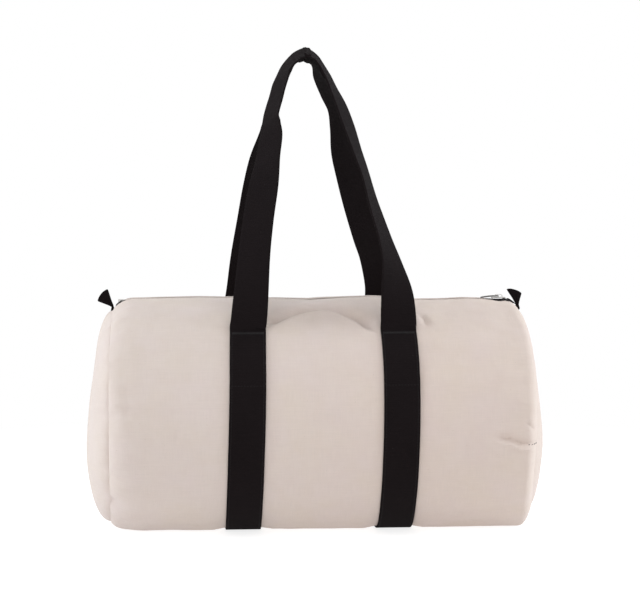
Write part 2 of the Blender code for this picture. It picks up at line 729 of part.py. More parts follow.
def main():
    clear_scene()
    canvas = material("natural_canvas", (0.69, 0.62, 0.54), 0.9)
    webbing = material("black_webbing", (0.014, 0.012, 0.012), 0.85)
    tape = material("zip_tape", (0.012, 0.012, 0.013), 0.8)
    nylon = material("zip_nylon", (0.015, 0.015, 0.016), 0.45)
    metal = material("nickel", (0.62, 0.62, 0.63), 0.3, 1)
    wire = material("dark_wire", (0.10, 0.10, 0.11), 0.35, 1)
    binding = material("binding_tape", (0.60, 0.54, 0.47), 0.9)
    thread = material("black_thread", (0.018, 0.016, 0.016), 0.7)

    barrel_canvas(canvas)
    for word, side in (("left", -1), ("right", 1)):
        end_panel(f"{word}_end_panel", side, canvas)
        seam_binding(f"{word}_seam_binding", side, binding)
        strap_band(f"{word}_strap_band", side, webbing)
        zip_end_cover(f"{word}_zip_end_cover", side, webbing)
    end_tab("left_end_tab", -1, LEFT_TAB_LENGTH, LEFT_TAB_LEAN, webbing)
    end_tab("right_end_tab", 1, RIGHT_TAB_LENGTH, RIGHT_TAB_LEAN, webbing)
    bottom_stop(metal)

    for word, face in (("front", -1), ("rear", 1)):
        panel_axis = joint_axis(f"{word}_mouth_axis", (0, 0, AXIS_HEIGHT))
        zip_half(word, face, canvas, tape, nylon, metal, panel_axis)
        bar_tack(f"{word}_left_bar_tack", -1, face, thread)
        bar_tack(f"{word}_right_bar_tack", 1, face, thread)
        hinge = joint_axis(f"{word}_handle_axis", (0, face * PIVOT_Y, PIVOT_HEIGHT))
        handle(f"{word}_handle", face, webbing, hinge)

    track = joint_axis("slider_track", (SLIDER_MIDDLE, 0, COIL_MIDDLE))
    slider_body(metal, track)
    slider_bridge(metal, track)
    pull_axis = joint_axis("pull_axis", (SLIDER_MIDDLE, 0, PULL_HEIGHT))
    wire_pull(wire, pull_axis)


main()
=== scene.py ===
"""Canvas, webbing, zip and studio of a barrel holdall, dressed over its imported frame.

X runs along the barrel, Y from the front to the back and Z up, in metres, as in the frame. Angles round
the barrel are measured at its axis from straight up, towards the back.
"""

import math
from functools import partial

import bmesh
import bpy
import numpy as np
from bpy.props import FloatProperty, FloatVectorProperty, PointerProperty
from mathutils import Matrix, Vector, noise


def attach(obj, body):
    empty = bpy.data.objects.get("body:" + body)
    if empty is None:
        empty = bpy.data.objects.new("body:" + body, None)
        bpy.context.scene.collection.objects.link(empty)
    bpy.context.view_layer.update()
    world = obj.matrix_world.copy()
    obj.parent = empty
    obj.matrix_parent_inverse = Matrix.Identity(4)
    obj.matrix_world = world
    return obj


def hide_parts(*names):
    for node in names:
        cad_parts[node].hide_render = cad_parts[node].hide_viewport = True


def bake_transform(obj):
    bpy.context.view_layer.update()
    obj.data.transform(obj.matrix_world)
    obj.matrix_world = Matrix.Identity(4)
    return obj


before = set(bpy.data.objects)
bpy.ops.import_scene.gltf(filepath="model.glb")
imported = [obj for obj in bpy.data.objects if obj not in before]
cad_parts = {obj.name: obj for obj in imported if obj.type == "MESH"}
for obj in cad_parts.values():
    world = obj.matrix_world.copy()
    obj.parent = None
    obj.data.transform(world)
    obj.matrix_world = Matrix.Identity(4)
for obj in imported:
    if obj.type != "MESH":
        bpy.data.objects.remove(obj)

bl_info = {
    "name": "Canvas Barrel Holdall",
    "version": (1, 0, 0),
    "blender": (4, 5, 0),
    "location": "View3D > Sidebar > Holdall",
    "description": "Dresses the frame of a canvas barrel holdall in cloth, webbing and a zip",
    "category": "Object",
}

FACES = (("front", -1), ("rear", 1))
SIDES = (("left", -1), ("right", 1))
PARTS = (("left", -1), ("middle", 0), ("right", 1))

X_WAY, Y_WAY, Z_WAY = np.eye(3)

# Sizes shared with the frame
HALF_LENGTH = 0.2275
BARREL_RADIUS = 0.1243
AXIS_HEIGHT = 0.1243
SAG_DEPTH = 0.0085
SEAM_RADIUS = 0.1113
ROUND_ANGLE = math.radians(52)
SAG_ANGLE = math.radians(130)
CANVAS_THICKNESS = 0.0012
STRAP_OFFSET = 0.0805
STRAP_WIDTH = 0.038
STRAP_THICKNESS = 0.0018
STRAP_STEP = 0.0021
CINCH_MARGIN = 0.001
CINCH_FADE = 0.012
SUNK_ANGLE = math.radians(80)
HINGE_ANGLE = math.radians(42.5)
PIVOT_RADIUS = BARREL_RADIUS + STRAP_STEP
PIVOT_Y = PIVOT_RADIUS * math.sin(HINGE_ANGLE)
PIVOT_HEIGHT = AXIS_HEIGHT + PIVOT_RADIUS * math.cos(HINGE_ANGLE)
HANDLE_APEX_X = -0.010
APEX_TILT = math.radians(18)
APEX_GAP = 0.001
APEX_Y = (STRAP_WIDTH * math.cos(APEX_TILT) + APEX_GAP) / 2 + STRAP_THICKNESS
HANDLE_RISE = 0.2654
APEX_HEIGHT = AXIS_HEIGHT + BARREL_RADIUS + HANDLE_RISE
LIP_Y = 0.0099
LIP_ANGLE = LIP_Y / BARREL_RADIUS
LIP_HEIGHT = 0.2478
PANEL_FOOT_Y = 0.0894
PANEL_FOOT_HEIGHT = 0.2106
PANEL_END = 0.2120
TAPE_RADIUS = 0.1212
TAPE_THICKNESS = 0.0008
TAPE_START = 0.0035
TAPE_WIDTH = 0.0145
COIL_Y = 0.00165
COIL_HEIGHT = 0.2449
COIL_START = -0.2082
COIL_END = 0.1957
SLIDER_MIDDLE = 0.2022
SLIDER_POST = SLIDER_MIDDLE + 0.0060
SLIDER_TOP = 0.2477
PULL_HEIGHT = 0.2487
PULL_LENGTH = 0.0194
PULL_WIDTH = 0.0068
PULL_CORNER = 0.0012
WIRE_RADIUS = 0.0006

# The handles' legs from hinge to apex: share of the height, then for the front handle and for the rear one
# the share of the way in and the share of a quarter turn that the webbing has twisted
LEFT_LEG = (
    (0.0, 0.044, 0.0, 0.0, 0.0), (0.012, 0.043, 0.0, 0.0, 0.0),
    (0.04, 0.062, 0.02, 0.022, 0.015), (0.13, 0.098, 0.20, 0.067, 0.14),
    (0.26, 0.149, 0.345, 0.108, 0.32), (0.39, 0.217, 0.39, 0.187, 0.386),
    (0.51, 0.302, 0.435, 0.259, 0.442), (0.61, 0.374, 0.60, 0.329, 0.538),
    (0.69, 0.424, 0.63, 0.414, 0.67), (0.735, 0.424, 0.70, 0.455, 0.742),
    (0.77, 0.435, 0.82, 0.487, 0.785), (0.83, 0.508, 0.844, 0.554, 0.835),
    (0.89, 0.583, 0.86, 0.644, 0.90), (0.94, 0.674, 0.96, 0.741, 0.97),
    (0.98, 0.83, 1.0, 0.845, 1.0), (1.0, 1.0, 1.0, 1.0, 1.0),
)
RIGHT_LEG = (
    (0.0, -0.012, 0.0, 0.0, 0.0), (0.012, -0.012, 0.0, 0.0, 0.0),
    (0.04, -0.017, 0.02, -0.006, 0.015), (0.13, -0.007, 0.24, -0.006, 0.20),
    (0.23, 0.037, 0.582, 0.092, 0.475), (0.32, 0.115, 0.75, 0.199, 0.50),
    (0.44, 0.238, 0.815, 0.323, 0.50), (0.55, 0.334, 0.86, 0.430, 0.55),
    (0.64, 0.431, 0.84, 0.513, 0.626), (0.73, 0.524, 0.80, 0.552, 0.707),
    (0.80, 0.603, 0.82, 0.607, 0.813), (0.86, 0.688, 0.89, 0.715, 0.88),
    (0.92, 0.777, 0.94, 0.82, 0.96), (0.97, 0.88, 1.0, 0.88, 1.0), (1.0, 1.0, 1.0, 1.0, 1.0),
)

# How far each strap sways along the barrel, by side: degrees down the front, and the sway there
STRAP_SWAYS = {
    -1: (
        (0, 30, 42.5, 50, 61, 71, 90, 108, 130, 150, 180),
        (0.0, 0.0031, 0.0031, 0.0025, 0.0019, 0.0016, 0.0005, -0.0006, -0.0012, -0.0010, 0.0),
    ),
    1: (
        (0, 30, 42.5, 61, 71, 90, 108, 130, 140, 150, 180),
        (0.0, 0.0011, 0.0011, 0.0013, 0.0011, 0.0002, -0.0005, -0.0004, 0.0001, 0.0006, 0.0),
    ),
}

# The stuffed ends, by side. Lengths that draw in to the seam, at the zip, beside it and below; how far the
# seam stands in at the zip, at the side and below; how much wider it is at the side and below; and the dome:
# its further height low down, where that starts, over how much of the radius it grows, and two powers
SHOULDERS = {-1: (0.024, 0.0258, 0.042), 1: (0.018, 0.0105, 0.0136)}
SEAM_STEPS = {-1: (0.0072, 0.0050, 0.0050), 1: (0.0045, 0.0036, -0.0024)}
SEAM_GROWTH = {-1: (0.0059, 0.0081), 1: (0.0060, 0.0041)}
DOMES = {-1: (0.0082, -0.6435, 1.146, 2.95, 0.503), 1: (0.0091, -0.4616, 0.85, 2.71, 0.80)}
SHOULDER_SHARE = 0.88

# Where those change, as degrees from straight up and degrees that the change takes; then the same for the
# straps' hold on the canvas below their hinges, and for the fading of the top's own line
SHOULDER_CHANGE = (12, 30)
STEP_CHANGES = ((15, 50), (115, 45))
GROWTH_CHANGES = ((12, 50), (95, 60))
HINGE_CHANGE = (36, 4.5)
TOP_FADE = (22, 50)

# The end panels: how far their faces stand in from the seam and their edges turn in, the gap round them,
# their height over the ground, and the height, length and seed of their rolling
PANEL_INSET = 0.0015
PANEL_TURN_IN = 0.0060
PANEL_GAP = 0.0006
PANEL_REST = 0.0004
PANEL_ROLL = (0.0011, 0.05, 2.2)

# Share of an end panel's radius beside its rim where its rings stand closer
RIM_SHARE = 0.14

# How far the body's canvas is turned in at the seam, in two steps
TURNED_IN = (0.0003, 0.0010)

# Gathers at the end seams: share of their depth on each side, how far they reach on the body and on the
# end, and the length over which the seam holds them flat
GATHERS = {-1: 1.0, 1: 0.4}
GATHER_REACH = 0.019
END_GATHER_REACH = 0.010
SEAM_HOLD = 0.002

# Puckers beside the straps' stitches: their length, their seed and how far they reach; and the width beside
# a strap where the canvas lies as the strap does, and the length over which it gets free
NEEDLE_PUCKER = (0.0045, 12.0)
NEEDLE_REACH = 0.004
STRAP_HOLD = 0.0006
STRAP_HOLD_FADE = 0.011

# How far the top of the bag stands over or under its even shape, by place along the barrel
TOP_PLACES = (-0.2275, -0.205, -0.165, -0.130, -0.095, -0.040, -0.007, 0.024,
              0.060, 0.085, 0.110, 0.145, 0.165, 0.184, 0.205, 0.2275)
TOP_HEIGHTS = (0.0, 0.0005, 0.0015, 0.0020, 0.0015, 0.0006, -0.0010, 0.0005,
               0.0020, 0.0010, -0.0015, -0.0012, -0.0002, -0.0008, -0.0025, -0.0015)

# The canvas's rolling: its height, its length and its seed; its share at the lip of the mouth, and the angle
# over which it grows from there
ROLLS = ((0.0016, 0.060, 1.7), (0.0009, 0.021, 6.3))
ROLL_LIP_SHARE = 0.25
ROLL_GROWTH = math.radians(16)

# Folds in the canvas: points along each one (place along the barrel, angle in degrees), depth of its valley,
# half widths of the valley to its left and right as the points run, and height of the ridge to its right
FOLDS = (
    (
        ((-0.0578, -36.8), (-0.0480, -33.8), (-0.0359, -29.8), (-0.0202, -25.0), (-0.0067, -22.3),
         (0.0032, -21.4), (0.0136, -22.6), (0.0237, -25.4), (0.0346, -29.6), (0.0434, -34.1),
         (0.0509, -39.4)),
        0.0092, 0.0098, 0.0044, 0.0018,
    ),
    (((-0.0500, -33.4), (-0.0420, -33.0), (-0.0350, -31.6)), 0.0024, 0.0034, 0.0034, 0.0),
    (((-0.0265, -25.0), (-0.0200, -23.4), (-0.0130, -22.6)), 0.0024, 0.0032, 0.0032, 0.0),
    (((0.1085, -29.5), (0.1122, -33.5), (0.1128, -38.0)), 0.0030, 0.0034, 0.0034, 0.0006),
    (((0.2150, -90.6), (0.2190, -92.6), (0.2236, -94.5)), 0.0020, 0.0017, 0.0013, 0.0005),
    (((0.1820, -97.4), (0.1985, -98.8), (0.2080, -100.4), (0.2175, -101.2), (0.2270, -101.9)),
     0.0042, 0.0042, 0.0024, 0.0014),
    (((-0.2120, -62.0), (-0.2080, -76.0), (-0.2060, -90.0)), 0.0008, 0.0045, 0.0045, 0.0004),
    (((-0.0520, 38.0), (-0.0300, 30.0), (0.0020, 27.0), (0.0250, 33.0)), 0.0030, 0.0060, 0.0140, 0.0016),
    (((-0.2000, 96.0), (-0.1850, 99.0), (-0.1700, 99.5)), 0.0016, 0.0040, 0.0040, 0.0008),
)

# A fold's ridge, in half widths of its valley: how far beside it and how wide; and a fold's share of its
# depth at its ends
RIDGE_AWAY = 2.1
RIDGE_WIDTH = 1.1
FOLD_END_SHARE = 0.25

# Where cloth comes to rest: the angle below which it may touch the ground, and how softly it does
LOW_ANGLE = math.radians(120)
REST_SOFTNESS = 0.0016

# Edges turned by more than this stay sharp
SHARP_ANGLE = math.radians(38)

# The folded lip of the mouth: how far it sinks and over what length, the fold's width and fade, its round
# edge, rows of points from the lip down, its two lines of stitches, and the rows' distance further down
LIP_SINK = 0.0013
LIP_SINK_REACH = 0.022
HEM_WIDTH = 0.0086
HEM_FADE = 0.0014
HEM_ROUND = 0.0013
HEM_STEPS = (0.0, 0.00015, 0.0004, 0.0008, 0.0013, 0.0022, 0.0035, 0.005, 0.0067, 0.0082, 0.0094, 0.0106)
HEM_LINES = (0.0021, 0.0078)
HEM_STITCH_LIFT = 0.00006
CLOTH_STEP = 0.0026

# Stitches: their distance as a share of their length on the straps and at the lip, how much shorter they are
# at the lip, and how flat the thread lies
STRAP_STITCH_SHARE = 1.18
LIP_STITCH_SHARE = 1.15
LIP_STITCH_LENGTH_SHARE = 0.92
THREAD_FLATNESS = 0.8

# The webbing's selvedge: how high it stands, how far in from the edge and how wide it is
SELVEDGE = (0.00008, 0.0012, 0.0008)

# The straps round the body: how far they run on past their hinges, how finely their stitch lines are drawn,
# and the lines of stitches across them, as turns from straight up
BAND_OVERRUN = 0.0028
BAND_STEP = 0.0015
STITCH_LIFT = 0.00005
STITCHED_TURNS = [math.radians(degrees) for degrees in (72.4, 287.6, 289.4)]

# The tacks: distances from the webbing's edge, below the hinge and over the webbing, and their stitches
TACK_MARGIN = 0.0030
TACK_BELOW = 0.0039
TACK_LIFT = 0.00015
TACK_PITCH = 0.00085
TACK_STITCH = (0.0030, 0.00055, 0.0005)
TACK_SLANTS = (76, 104)

# The zip: rows of points across its tape, the tape's round edge, its teeth, and where it straightens towards
# the slider and over what length
TAPE_STEPS = (0.0, 0.0002, 0.0006, 0.0025, 0.0045, 0.0065, 0.0085, 0.0105, 0.0125, 0.0139, 0.0143, TAPE_WIDTH)
TAPE_ROUND = 0.0006
TOOTH_SIZE = (0.0030, 0.0024, 0.0019)
ZIP_STRAIGHTENS = (0.165, 0.022)

# Dark stitches laid along the tuck at the right end seam, standing for the painted shadow of its crease:
# place along the barrel and angle in degrees of each
TUCK_SHADOW_PLACES = ((0.2180, -101.3), (0.2210, -101.5), (0.2240, -101.7), (0.2270, -101.9))
TUCK_SHADOW_LIFT = 0.0007
TUCK_SHADOW_PITCH = 0.0034
TUCK_SHADOW_STITCH = (0.0024, 0.0007, 0.0006)
TUCK_SHADOW_SLANT = 28

# Section of the binding: how far back and how far down from its outer edge
BINDING_SECTION = (
    (0.0, 0.0), (0.0022, 0.0), (0.0045, -0.0001), (0.0060, -0.0004), (0.0065, -0.0013),
    (0.0062, -0.0024), (0.0048, -0.0029), (0.0022, -0.0030), (0.0, -0.0030), (-0.0002, -0.0015),
)
BINDING_DEPTH = 0.0031
BINDING_BACK = 0.0025
BINDING_WAVES = ((0.0002, 37, 0), (0.00015, 61, 1))
BINDING_FLAT_STEP = 0.0008

# The slider: half length and half widths of its plates and how far they are waisted, half sizes of its post,
# how square their corners are, and for each ring how far it is drawn in and its height over the coil's
# middle; then the arch's middle line and its section
PLATE_SIZES = (0.0080, 0.0055, 0.0040)
PLATE_WAIST = 0.0006
POST_SIZES = (0.0015, 0.0009)
PLATE_CORNERS = 0.42
POST_CORNERS = 0.6
LOWER_PLATE = ((0.0010, -0.0028), (0.0004, -0.00275), (0.0, -0.0024), (0.0, -0.0020), (0.0004, -0.0016))
POST = ((0.0003, -0.0016), (0.0, -0.0012), (0.0, 0.0012), (0.0003, 0.0016))
UPPER_PLATE = ((0.0004, 0.0016), (0.0, 0.0020), (0.0, 0.0024), (0.0004, 0.00272), (0.0010, 0.0028),
               (0.0016, 0.00265), (0.0024, 0.00260))
ARCH_PATH = ((-0.0042, 0.0001), (-0.0042, 0.0009), (-0.0040, 0.0016), (-0.0034, 0.0022), (-0.0024, 0.0025),
             (-0.0012, 0.00262), (0.0, 0.00266))
ARCH_SECTION = ((-0.0010, -0.0002), (-0.0008, -0.0004), (0.0008, -0.0004), (0.0010, -0.0002),
                (0.0010, 0.0002), (0.0008, 0.0004), (-0.0008, 0.0004), (-0.0010, 0.0002))

# How far the pull's end hangs down
PULL_DROP = 0.0015

# The end tabs: shares of their length, of the growth in width and of the change in thickness; the neck's
# length; width and thickness at the neck and at the wide end; how deep and how far out they start; distance
# and height of their ribs, how far the ribs are bowed, and how deep the crease along the middle is
TAB_SHARES = (
    (0.0, 0.10, 0.18, 0.25, 0.32, 0.5, 0.7, 0.85, 0.92, 0.96, 0.985, 1.0),
    (0.16, 0.16, 0.06, 0.0, 0.08, 0.34, 0.63, 0.86, 0.97, 1.0, 0.97, 0.86),
    (0.0, 0.06, 0.14, 0.24, 0.34, 0.54, 0.74, 0.88, 0.94, 0.97, 0.85, 0.62),
)
TAB_NECK = 0.0062
TAB_WIDTHS = (0.0030, 0.0166)
TAB_THICKNESSES = (0.0075, 0.0052)
TAB_SINK = 0.0022
TAB_OUT = 0.0004
TAB_RIB = 0.00165
TAB_RIB_SHARE = 0.055
TAB_BOW = -0.0016
TAB_CREASE = 0.30
TAB_CORNERS = 0.55
TAB_FLAT_WIDTH = 0.004

# The patches over the zip's ends: half width, distances of their edges from the seam, heights of their faces
# over the canvas, how thin their edges get and over what length, and their ribs' height and distance
PATCH_REACH = 0.0130
PATCH_EDGES = (0.0100, 0.0035)
PATCH_LIFTS = (0.0007, 0.0001)
PATCH_ROUND = (0.0005, 0.0008)
PATCH_RIB = (0.00008, 0.0020)

# The studio: the floor, the lamps' places, widths and height, how much stronger the right one of the side
# lamps is, the point that they face and the cool light of the side lamps
FLOOR_HALF = 14.0
FLOOR_FADE = (0.40, 1.0)
FRONT_LAMP = (-0.2, -2.6, 1.15)
SIDE_LAMP = (2.0, -0.15, 0.9)
FRONT_LAMP_WIDTH = 1.8
SIDE_LAMP_WIDTH = 1.0
RIGHT_LAMP_SHARE = 1.15
LAMP_HEIGHT = 1.2
LAMP_TARGET = (0.0, 0.0, 0.15)
COOL_LIGHT = (0.82, 0.93, 1.0)

FINISHES = {}
TREES = {}


def eased(share):
    """Shares held between 0 and 1 and eased at both ends."""
    share = np.clip(share, 0.0, 1.0)
    return share * share * (3 - 2 * share)


def past(angle, start, span):
    """How far an angle has gone over a span past its start, both in degrees, eased."""
    return eased((np.abs(angle) - math.radians(start)) / math.radians(span))


def unit(vectors):
    """Vectors at a length of one."""
    return vectors / np.linalg.norm(vectors, axis=1)[:, None]


def squared_off(turns, power):
    """The two ways of a circle, filled out towards a square's corners by a power under one."""
    return [np.sign(way) * np.abs(way) ** power for way in (np.cos(turns), np.sin(turns))]


def round_turns(count):
    """Turns all the way round, without the last, which is the first again."""
    return np.linspace(0, math.tau, count + 1)[:-1]


def for_side(x, table):
    """Each column of a table, from the row of the side that a place lies on."""
    return [np.where(x < 0, left, right) for left, right in zip(table[-1], table[1])]


def shoulder(x, angle):
    """How much of the canvas's length draws in towards the end seam."""
    peak, short, long = for_side(x, SHOULDERS)
    low = eased((np.abs(angle) - ROUND_ANGLE) / (math.pi - ROUND_ANGLE))
    return peak + (short - peak) * past(angle, *SHOULDER_CHANGE) + (long - short) * low


def seam_step(x, angle):
    """How far the end seam on this side stands in from its even place."""
    top, beside, under = for_side(x, SEAM_STEPS)
    beside_share, under_share = (past(angle, *change) for change in STEP_CHANGES)
    return top + (beside - top) * beside_share + (under - beside) * under_share


def seam_radius(x, angle):
    """Distance from the axis to the end seam on this side."""
    beside, under = for_side(x, SEAM_GROWTH)
    beside_share, under_share = (past(angle, *change) for change in GROWTH_CHANGES)
    return SEAM_RADIUS + beside * beside_share + (under - beside) * under_share


def even_radius(x, angle):
    """Distance from the axis to the outside of the evenly stuffed canvas."""
    full = BARREL_RADIUS + SAG_DEPTH * eased((np.abs(angle) - ROUND_ANGLE) / (SAG_ANGLE - ROUND_ANGLE))
    drawn_in = np.clip(1 - (HALF_LENGTH - np.abs(x)) / shoulder(x, angle), 0.0, 1.0)
    round_off = (1 - np.sqrt(1 - (SHOULDER_SHARE * drawn_in) ** 2)) / (1 - math.sqrt(1 - SHOULDER_SHARE**2))
    return full - (full - seam_radius(x, angle)) * round_off


def sunk(angle):
    """Share by which a strap is let into the canvas."""
    return eased((np.abs(angle) - ROUND_ANGLE) / (SUNK_ANGLE - ROUND_ANGLE))


def strap_sway(x, angle):
    """How far the strap on this side has swayed along the barrel."""
    left, right = (np.interp(-np.degrees(angle), *STRAP_SWAYS[side]) for side in (-1, 1))
    return np.where(x < 0, left, right)


def past_strap(x, angle):
    """Distance along the barrel from the edge of the strap on this side."""
    middle = np.where(x < 0, -STRAP_OFFSET, STRAP_OFFSET) + strap_sway(x, angle)
    return np.abs(x - middle) - STRAP_WIDTH / 2


def cinch(x, angle):
    """How far a strap draws the canvas in."""
    beside = past_strap(x, angle) - CINCH_MARGIN
    return STRAP_STEP * (1 - np.clip(beside / CINCH_FADE, 0.0, 1.0)) * sunk(angle)


def soft_noise(x, y, z, scale, seed):
    """Smooth noise of about plus or minus one at places in space."""
    flat = np.stack([np.ravel(a) for a in np.broadcast_arrays(x, y, z)], axis=1) / scale
    values = [noise.noise(Vector((a + seed, b - seed, c + 2 * seed))) for a, b, c in flat]
    return np.array(values).reshape(np.broadcast(x, y, z).shape)


def top_line(x):
    """How far the top stands over its even shape."""
    return np.interp(x, TOP_PLACES, TOP_HEIGHTS)


def fold_depth(x, angle):
    """How far the folds let the canvas in, less what their ridges push it out."""
    x, degrees = np.broadcast_arrays(x, np.degrees(angle))
    arc = math.radians(1) * BARREL_RADIUS
    total = np.zeros(x.shape)
    for points, depth, left_width, right_width, ridge in FOLDS:
        nearest = signed = np.full(x.shape, np.inf)
        ends = np.ones(x.shape)
        for number, ((ax, aa), (bx, ba)) in enumerate(zip(points, points[1:])):
            dx, da = bx - ax, (ba - aa) * arc
            px, pa = x - ax, (degrees - aa) * arc
            along = np.clip((px * dx + pa * da) / math.hypot(dx, da) ** 2, 0.0, 1.0)
            px, pa = px - along * dx, pa - along * da
            away = np.hypot(px, pa)
            share = (number + along) / (len(points) - 1)
            closer = away < nearest
            nearest = np.where(closer, away, nearest)
            signed = np.where(closer, away * np.sign(px * da - pa * dx), signed)
            ends = np.where(closer, np.sqrt(np.clip(4 * share * (1 - share), 0.0, 1.0)), ends)
        valley = np.exp(-((nearest / np.where(signed < 0, left_width, right_width)) ** 2))
        crest = np.exp(-(((signed / right_width - RIDGE_AWAY) / RIDGE_WIDTH) ** 2))
        strength = FOLD_END_SHARE + (1 - FOLD_END_SHARE) * ends
        total += strength * (depth * valley - ridge * crest)
    return total


def seam_pucker(angle, side):
    """The small gathers that the end seam's thread draws, as a share of their depth."""
    ring_y, ring_z = np.sin(angle), np.cos(angle)
    fine = soft_noise(ring_y * 12.0, ring_z * 12.0, side * 3.0, 1.0, 4.2)
    broad = soft_noise(ring_y * 5.0, ring_z * 5.0, side * 5.0, 1.0, 9.1)
    return 0.75 * fine + 0.6 * broad


def swell(x, angle, pucker):
    """How far the stuffing pushes the canvas out of its even shape."""
    x, angle = np.broadcast_arrays(x, angle)
    place = (x, BARREL_RADIUS * np.sin(angle), BARREL_RADIUS * np.cos(angle))
    out = top_line(x) * (1 - past(angle, *TOP_FADE))
    rolling = sum(height * soft_noise(*place, length, seed) for height, length, seed in ROLLS)
    grown = eased((np.abs(angle) - LIP_ANGLE) / ROLL_GROWTH)
    out = out + rolling * (ROLL_LIP_SHARE + (1 - ROLL_LIP_SHARE) * grown)
    out = out - fold_depth(x, angle)
    from_seam = HALF_LENGTH - np.abs(x)
    gathers = np.where(x < 0, *(GATHERS[side] * seam_pucker(angle, side) for side in (-1, 1)))
    near_seam = np.exp(-((from_seam / GATHER_REACH) ** 2)) * (1 - 0.6 * np.exp(-from_seam / SEAM_HOLD))
    from_strap = past_strap(x, angle)
    needle = soft_noise(x * 0.2, *place[1:], *NEEDLE_PUCKER)
    needle = needle * np.exp(-np.maximum(from_strap, 0) / NEEDLE_REACH)
    below_hinge = past(angle, *HINGE_CHANGE)
    out = out + pucker * (gathers * near_seam + 0.25 * needle * below_hinge)
    return out * (1 - (1 - eased((from_strap - STRAP_HOLD) / STRAP_HOLD_FADE)) * below_hinge)


def ring_points(x, radius, angle):
    """Points from places along the barrel, distances from its axis and angles round it."""
    x, radius, angle = np.broadcast_arrays(x, radius, angle)
    return np.stack([x, radius * np.sin(angle), AXIS_HEIGHT + radius * np.cos(angle)], axis=-1)


def rested(points, angle, depth):
    """The same points, of which the low ones come to rest softly on the ground, a depth above it."""
    above = (points[..., 2] - depth) / REST_SOFTNESS
    height = depth + REST_SOFTNESS * (np.maximum(above, 0.0) + np.log1p(np.exp(-np.abs(above))))
    points[..., 2] = np.where(np.abs(angle) > LOW_ANGLE, height, points[..., 2])
    return points


def on_canvas(x, angle, depth, pushed):
    """Points a depth inside the canvas's outer face."""
    x, angle, depth, pushed = np.broadcast_arrays(x, angle, depth, pushed)
    past_straps = (np.abs(x) - STRAP_OFFSET - STRAP_WIDTH) / (HALF_LENGTH - STRAP_OFFSET - STRAP_WIDTH)
    place = x - np.sign(x) * seam_step(x, angle) * eased(past_straps)
    points = ring_points(place, even_radius(x, angle) + pushed - depth, angle)
    return rested(points, angle, np.maximum(depth, 0.0))


# Meshes


def shown(name, data):
    """A new object in the scene."""
    made = bpy.data.objects.new(name, data)
    bpy.context.scene.collection.objects.link(made)
    return made


def new_piece(name, points, faces, finish, flat=None):
    """An object at the origin from points, faces and, for cloth, a flat place in metres for each point."""
    mesh = bpy.data.meshes.new(name)
    mesh.from_pydata(np.asarray(points, float).tolist(), [], faces)
    if flat is not None:
        ids = np.zeros(len(mesh.loops), np.int32)
        mesh.loops.foreach_get("vertex_index", ids)
        places = np.asarray(flat, np.float32).reshape(-1, 2)[ids]
        mesh.uv_layers.new(name="UVMap").data.foreach_set("uv", places.ravel())
    shape = bmesh.new()
    shape.from_mesh(mesh)
    bmesh.ops.recalc_face_normals(shape, faces=shape.faces)
    shape.to_mesh(mesh)
    shape.free()
    mesh.shade_smooth()
    mesh.set_sharp_from_angle(angle=SHARP_ANGLE)
    mesh.materials.append(FINISHES[finish])
    return shown(name, mesh)


def fitted(piece, slot, *nodes, body=None):
    """Says which body a piece rides on and which nodes it stands for; its slot is not used."""
    if body:
        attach(piece, body)
    if nodes:
        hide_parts(*nodes)


def sheet_piece(name, outer, inner, finish, u, v):
    """A closed sheet between two grids of points, with its flat places."""
    columns, rows = outer.shape[:2]
    below = columns * rows
    ids = np.arange(below).reshape(columns, rows)
    corner = ids[:-1, :-1]
    quads = np.stack([corner, corner + rows, corner + rows + 1, corner + 1], axis=-1).reshape(-1, 4)
    faces = [quads, quads[:, ::-1] + below]
    for line in (ids[0, :], ids[-1, ::-1], ids[::-1, 0], ids[:, -1]):
        near, far = line[:-1], line[1:]
        faces.append(np.stack([near, far, far + below, near + below], axis=-1))
    points = np.concatenate([outer.reshape(-1, 3), inner.reshape(-1, 3)])
    flat = np.stack([u, v], axis=-1)
    return new_piece(name, points, np.concatenate(faces).tolist(), finish, np.stack([flat, flat]))


def ring_skin(rings, closed=False, capped=True):
    """Points and faces of a skin through rings of equal count."""
    rings = np.asarray(rings, float)
    count, size = rings.shape[:2]
    near = np.arange(count * size).reshape(count, size)
    far = np.roll(near, -1, axis=0)
    quads = np.stack([near, np.roll(near, -1, axis=1), np.roll(far, -1, axis=1), far], axis=-1)
    faces = (quads if closed else quads[:-1]).reshape(-1, 4).tolist()
    if capped and not closed:
        faces += [near[0].tolist(), near[-1].tolist()]
    return rings.reshape(-1, 3), faces


# Node trees


def fill(tree, target, values):
    """Sets a node's inputs to values or to what other nodes put out."""
    for name, value in values.items():
        if isinstance(value, bpy.types.Node):
            value = value.outputs[0]
        if isinstance(value, bpy.types.NodeSocket):
            tree.links.new(value, target.inputs[name])
        else:
            target.inputs[name].default_value = value
    return target


def node(tree, kind, values=(), **settings):
    """A new node with its settings and its inputs."""
    made = tree.nodes.new(kind)
    for name, value in settings.items():
        setattr(made, name, value)
    return fill(tree, made, dict(values))


def new_tree(kind, name, inputs, outputs):
    """A tree with named inputs and outputs, and the nodes that hold them."""
    tree = bpy.data.node_groups.new(name, kind)
    for way, sockets in (("INPUT", inputs), ("OUTPUT", outputs)):
        for label, socket in sockets.items():
            tree.interface.new_socket(label, in_out=way, socket_type="NodeSocket" + socket)
    return tree, tree.nodes.new("NodeGroupInput"), tree.nodes.new("NodeGroupOutput")


def row_tree(name, **inputs):
    """A geometry tree that sets a shape along a path."""
    inputs = {"Geometry": "Geometry", "Pitch": "Float", "Size": "Vector", **inputs, "Finish": "Material"}
    return new_tree("GeometryNodeTree", name, inputs, {"Geometry": "Geometry"})


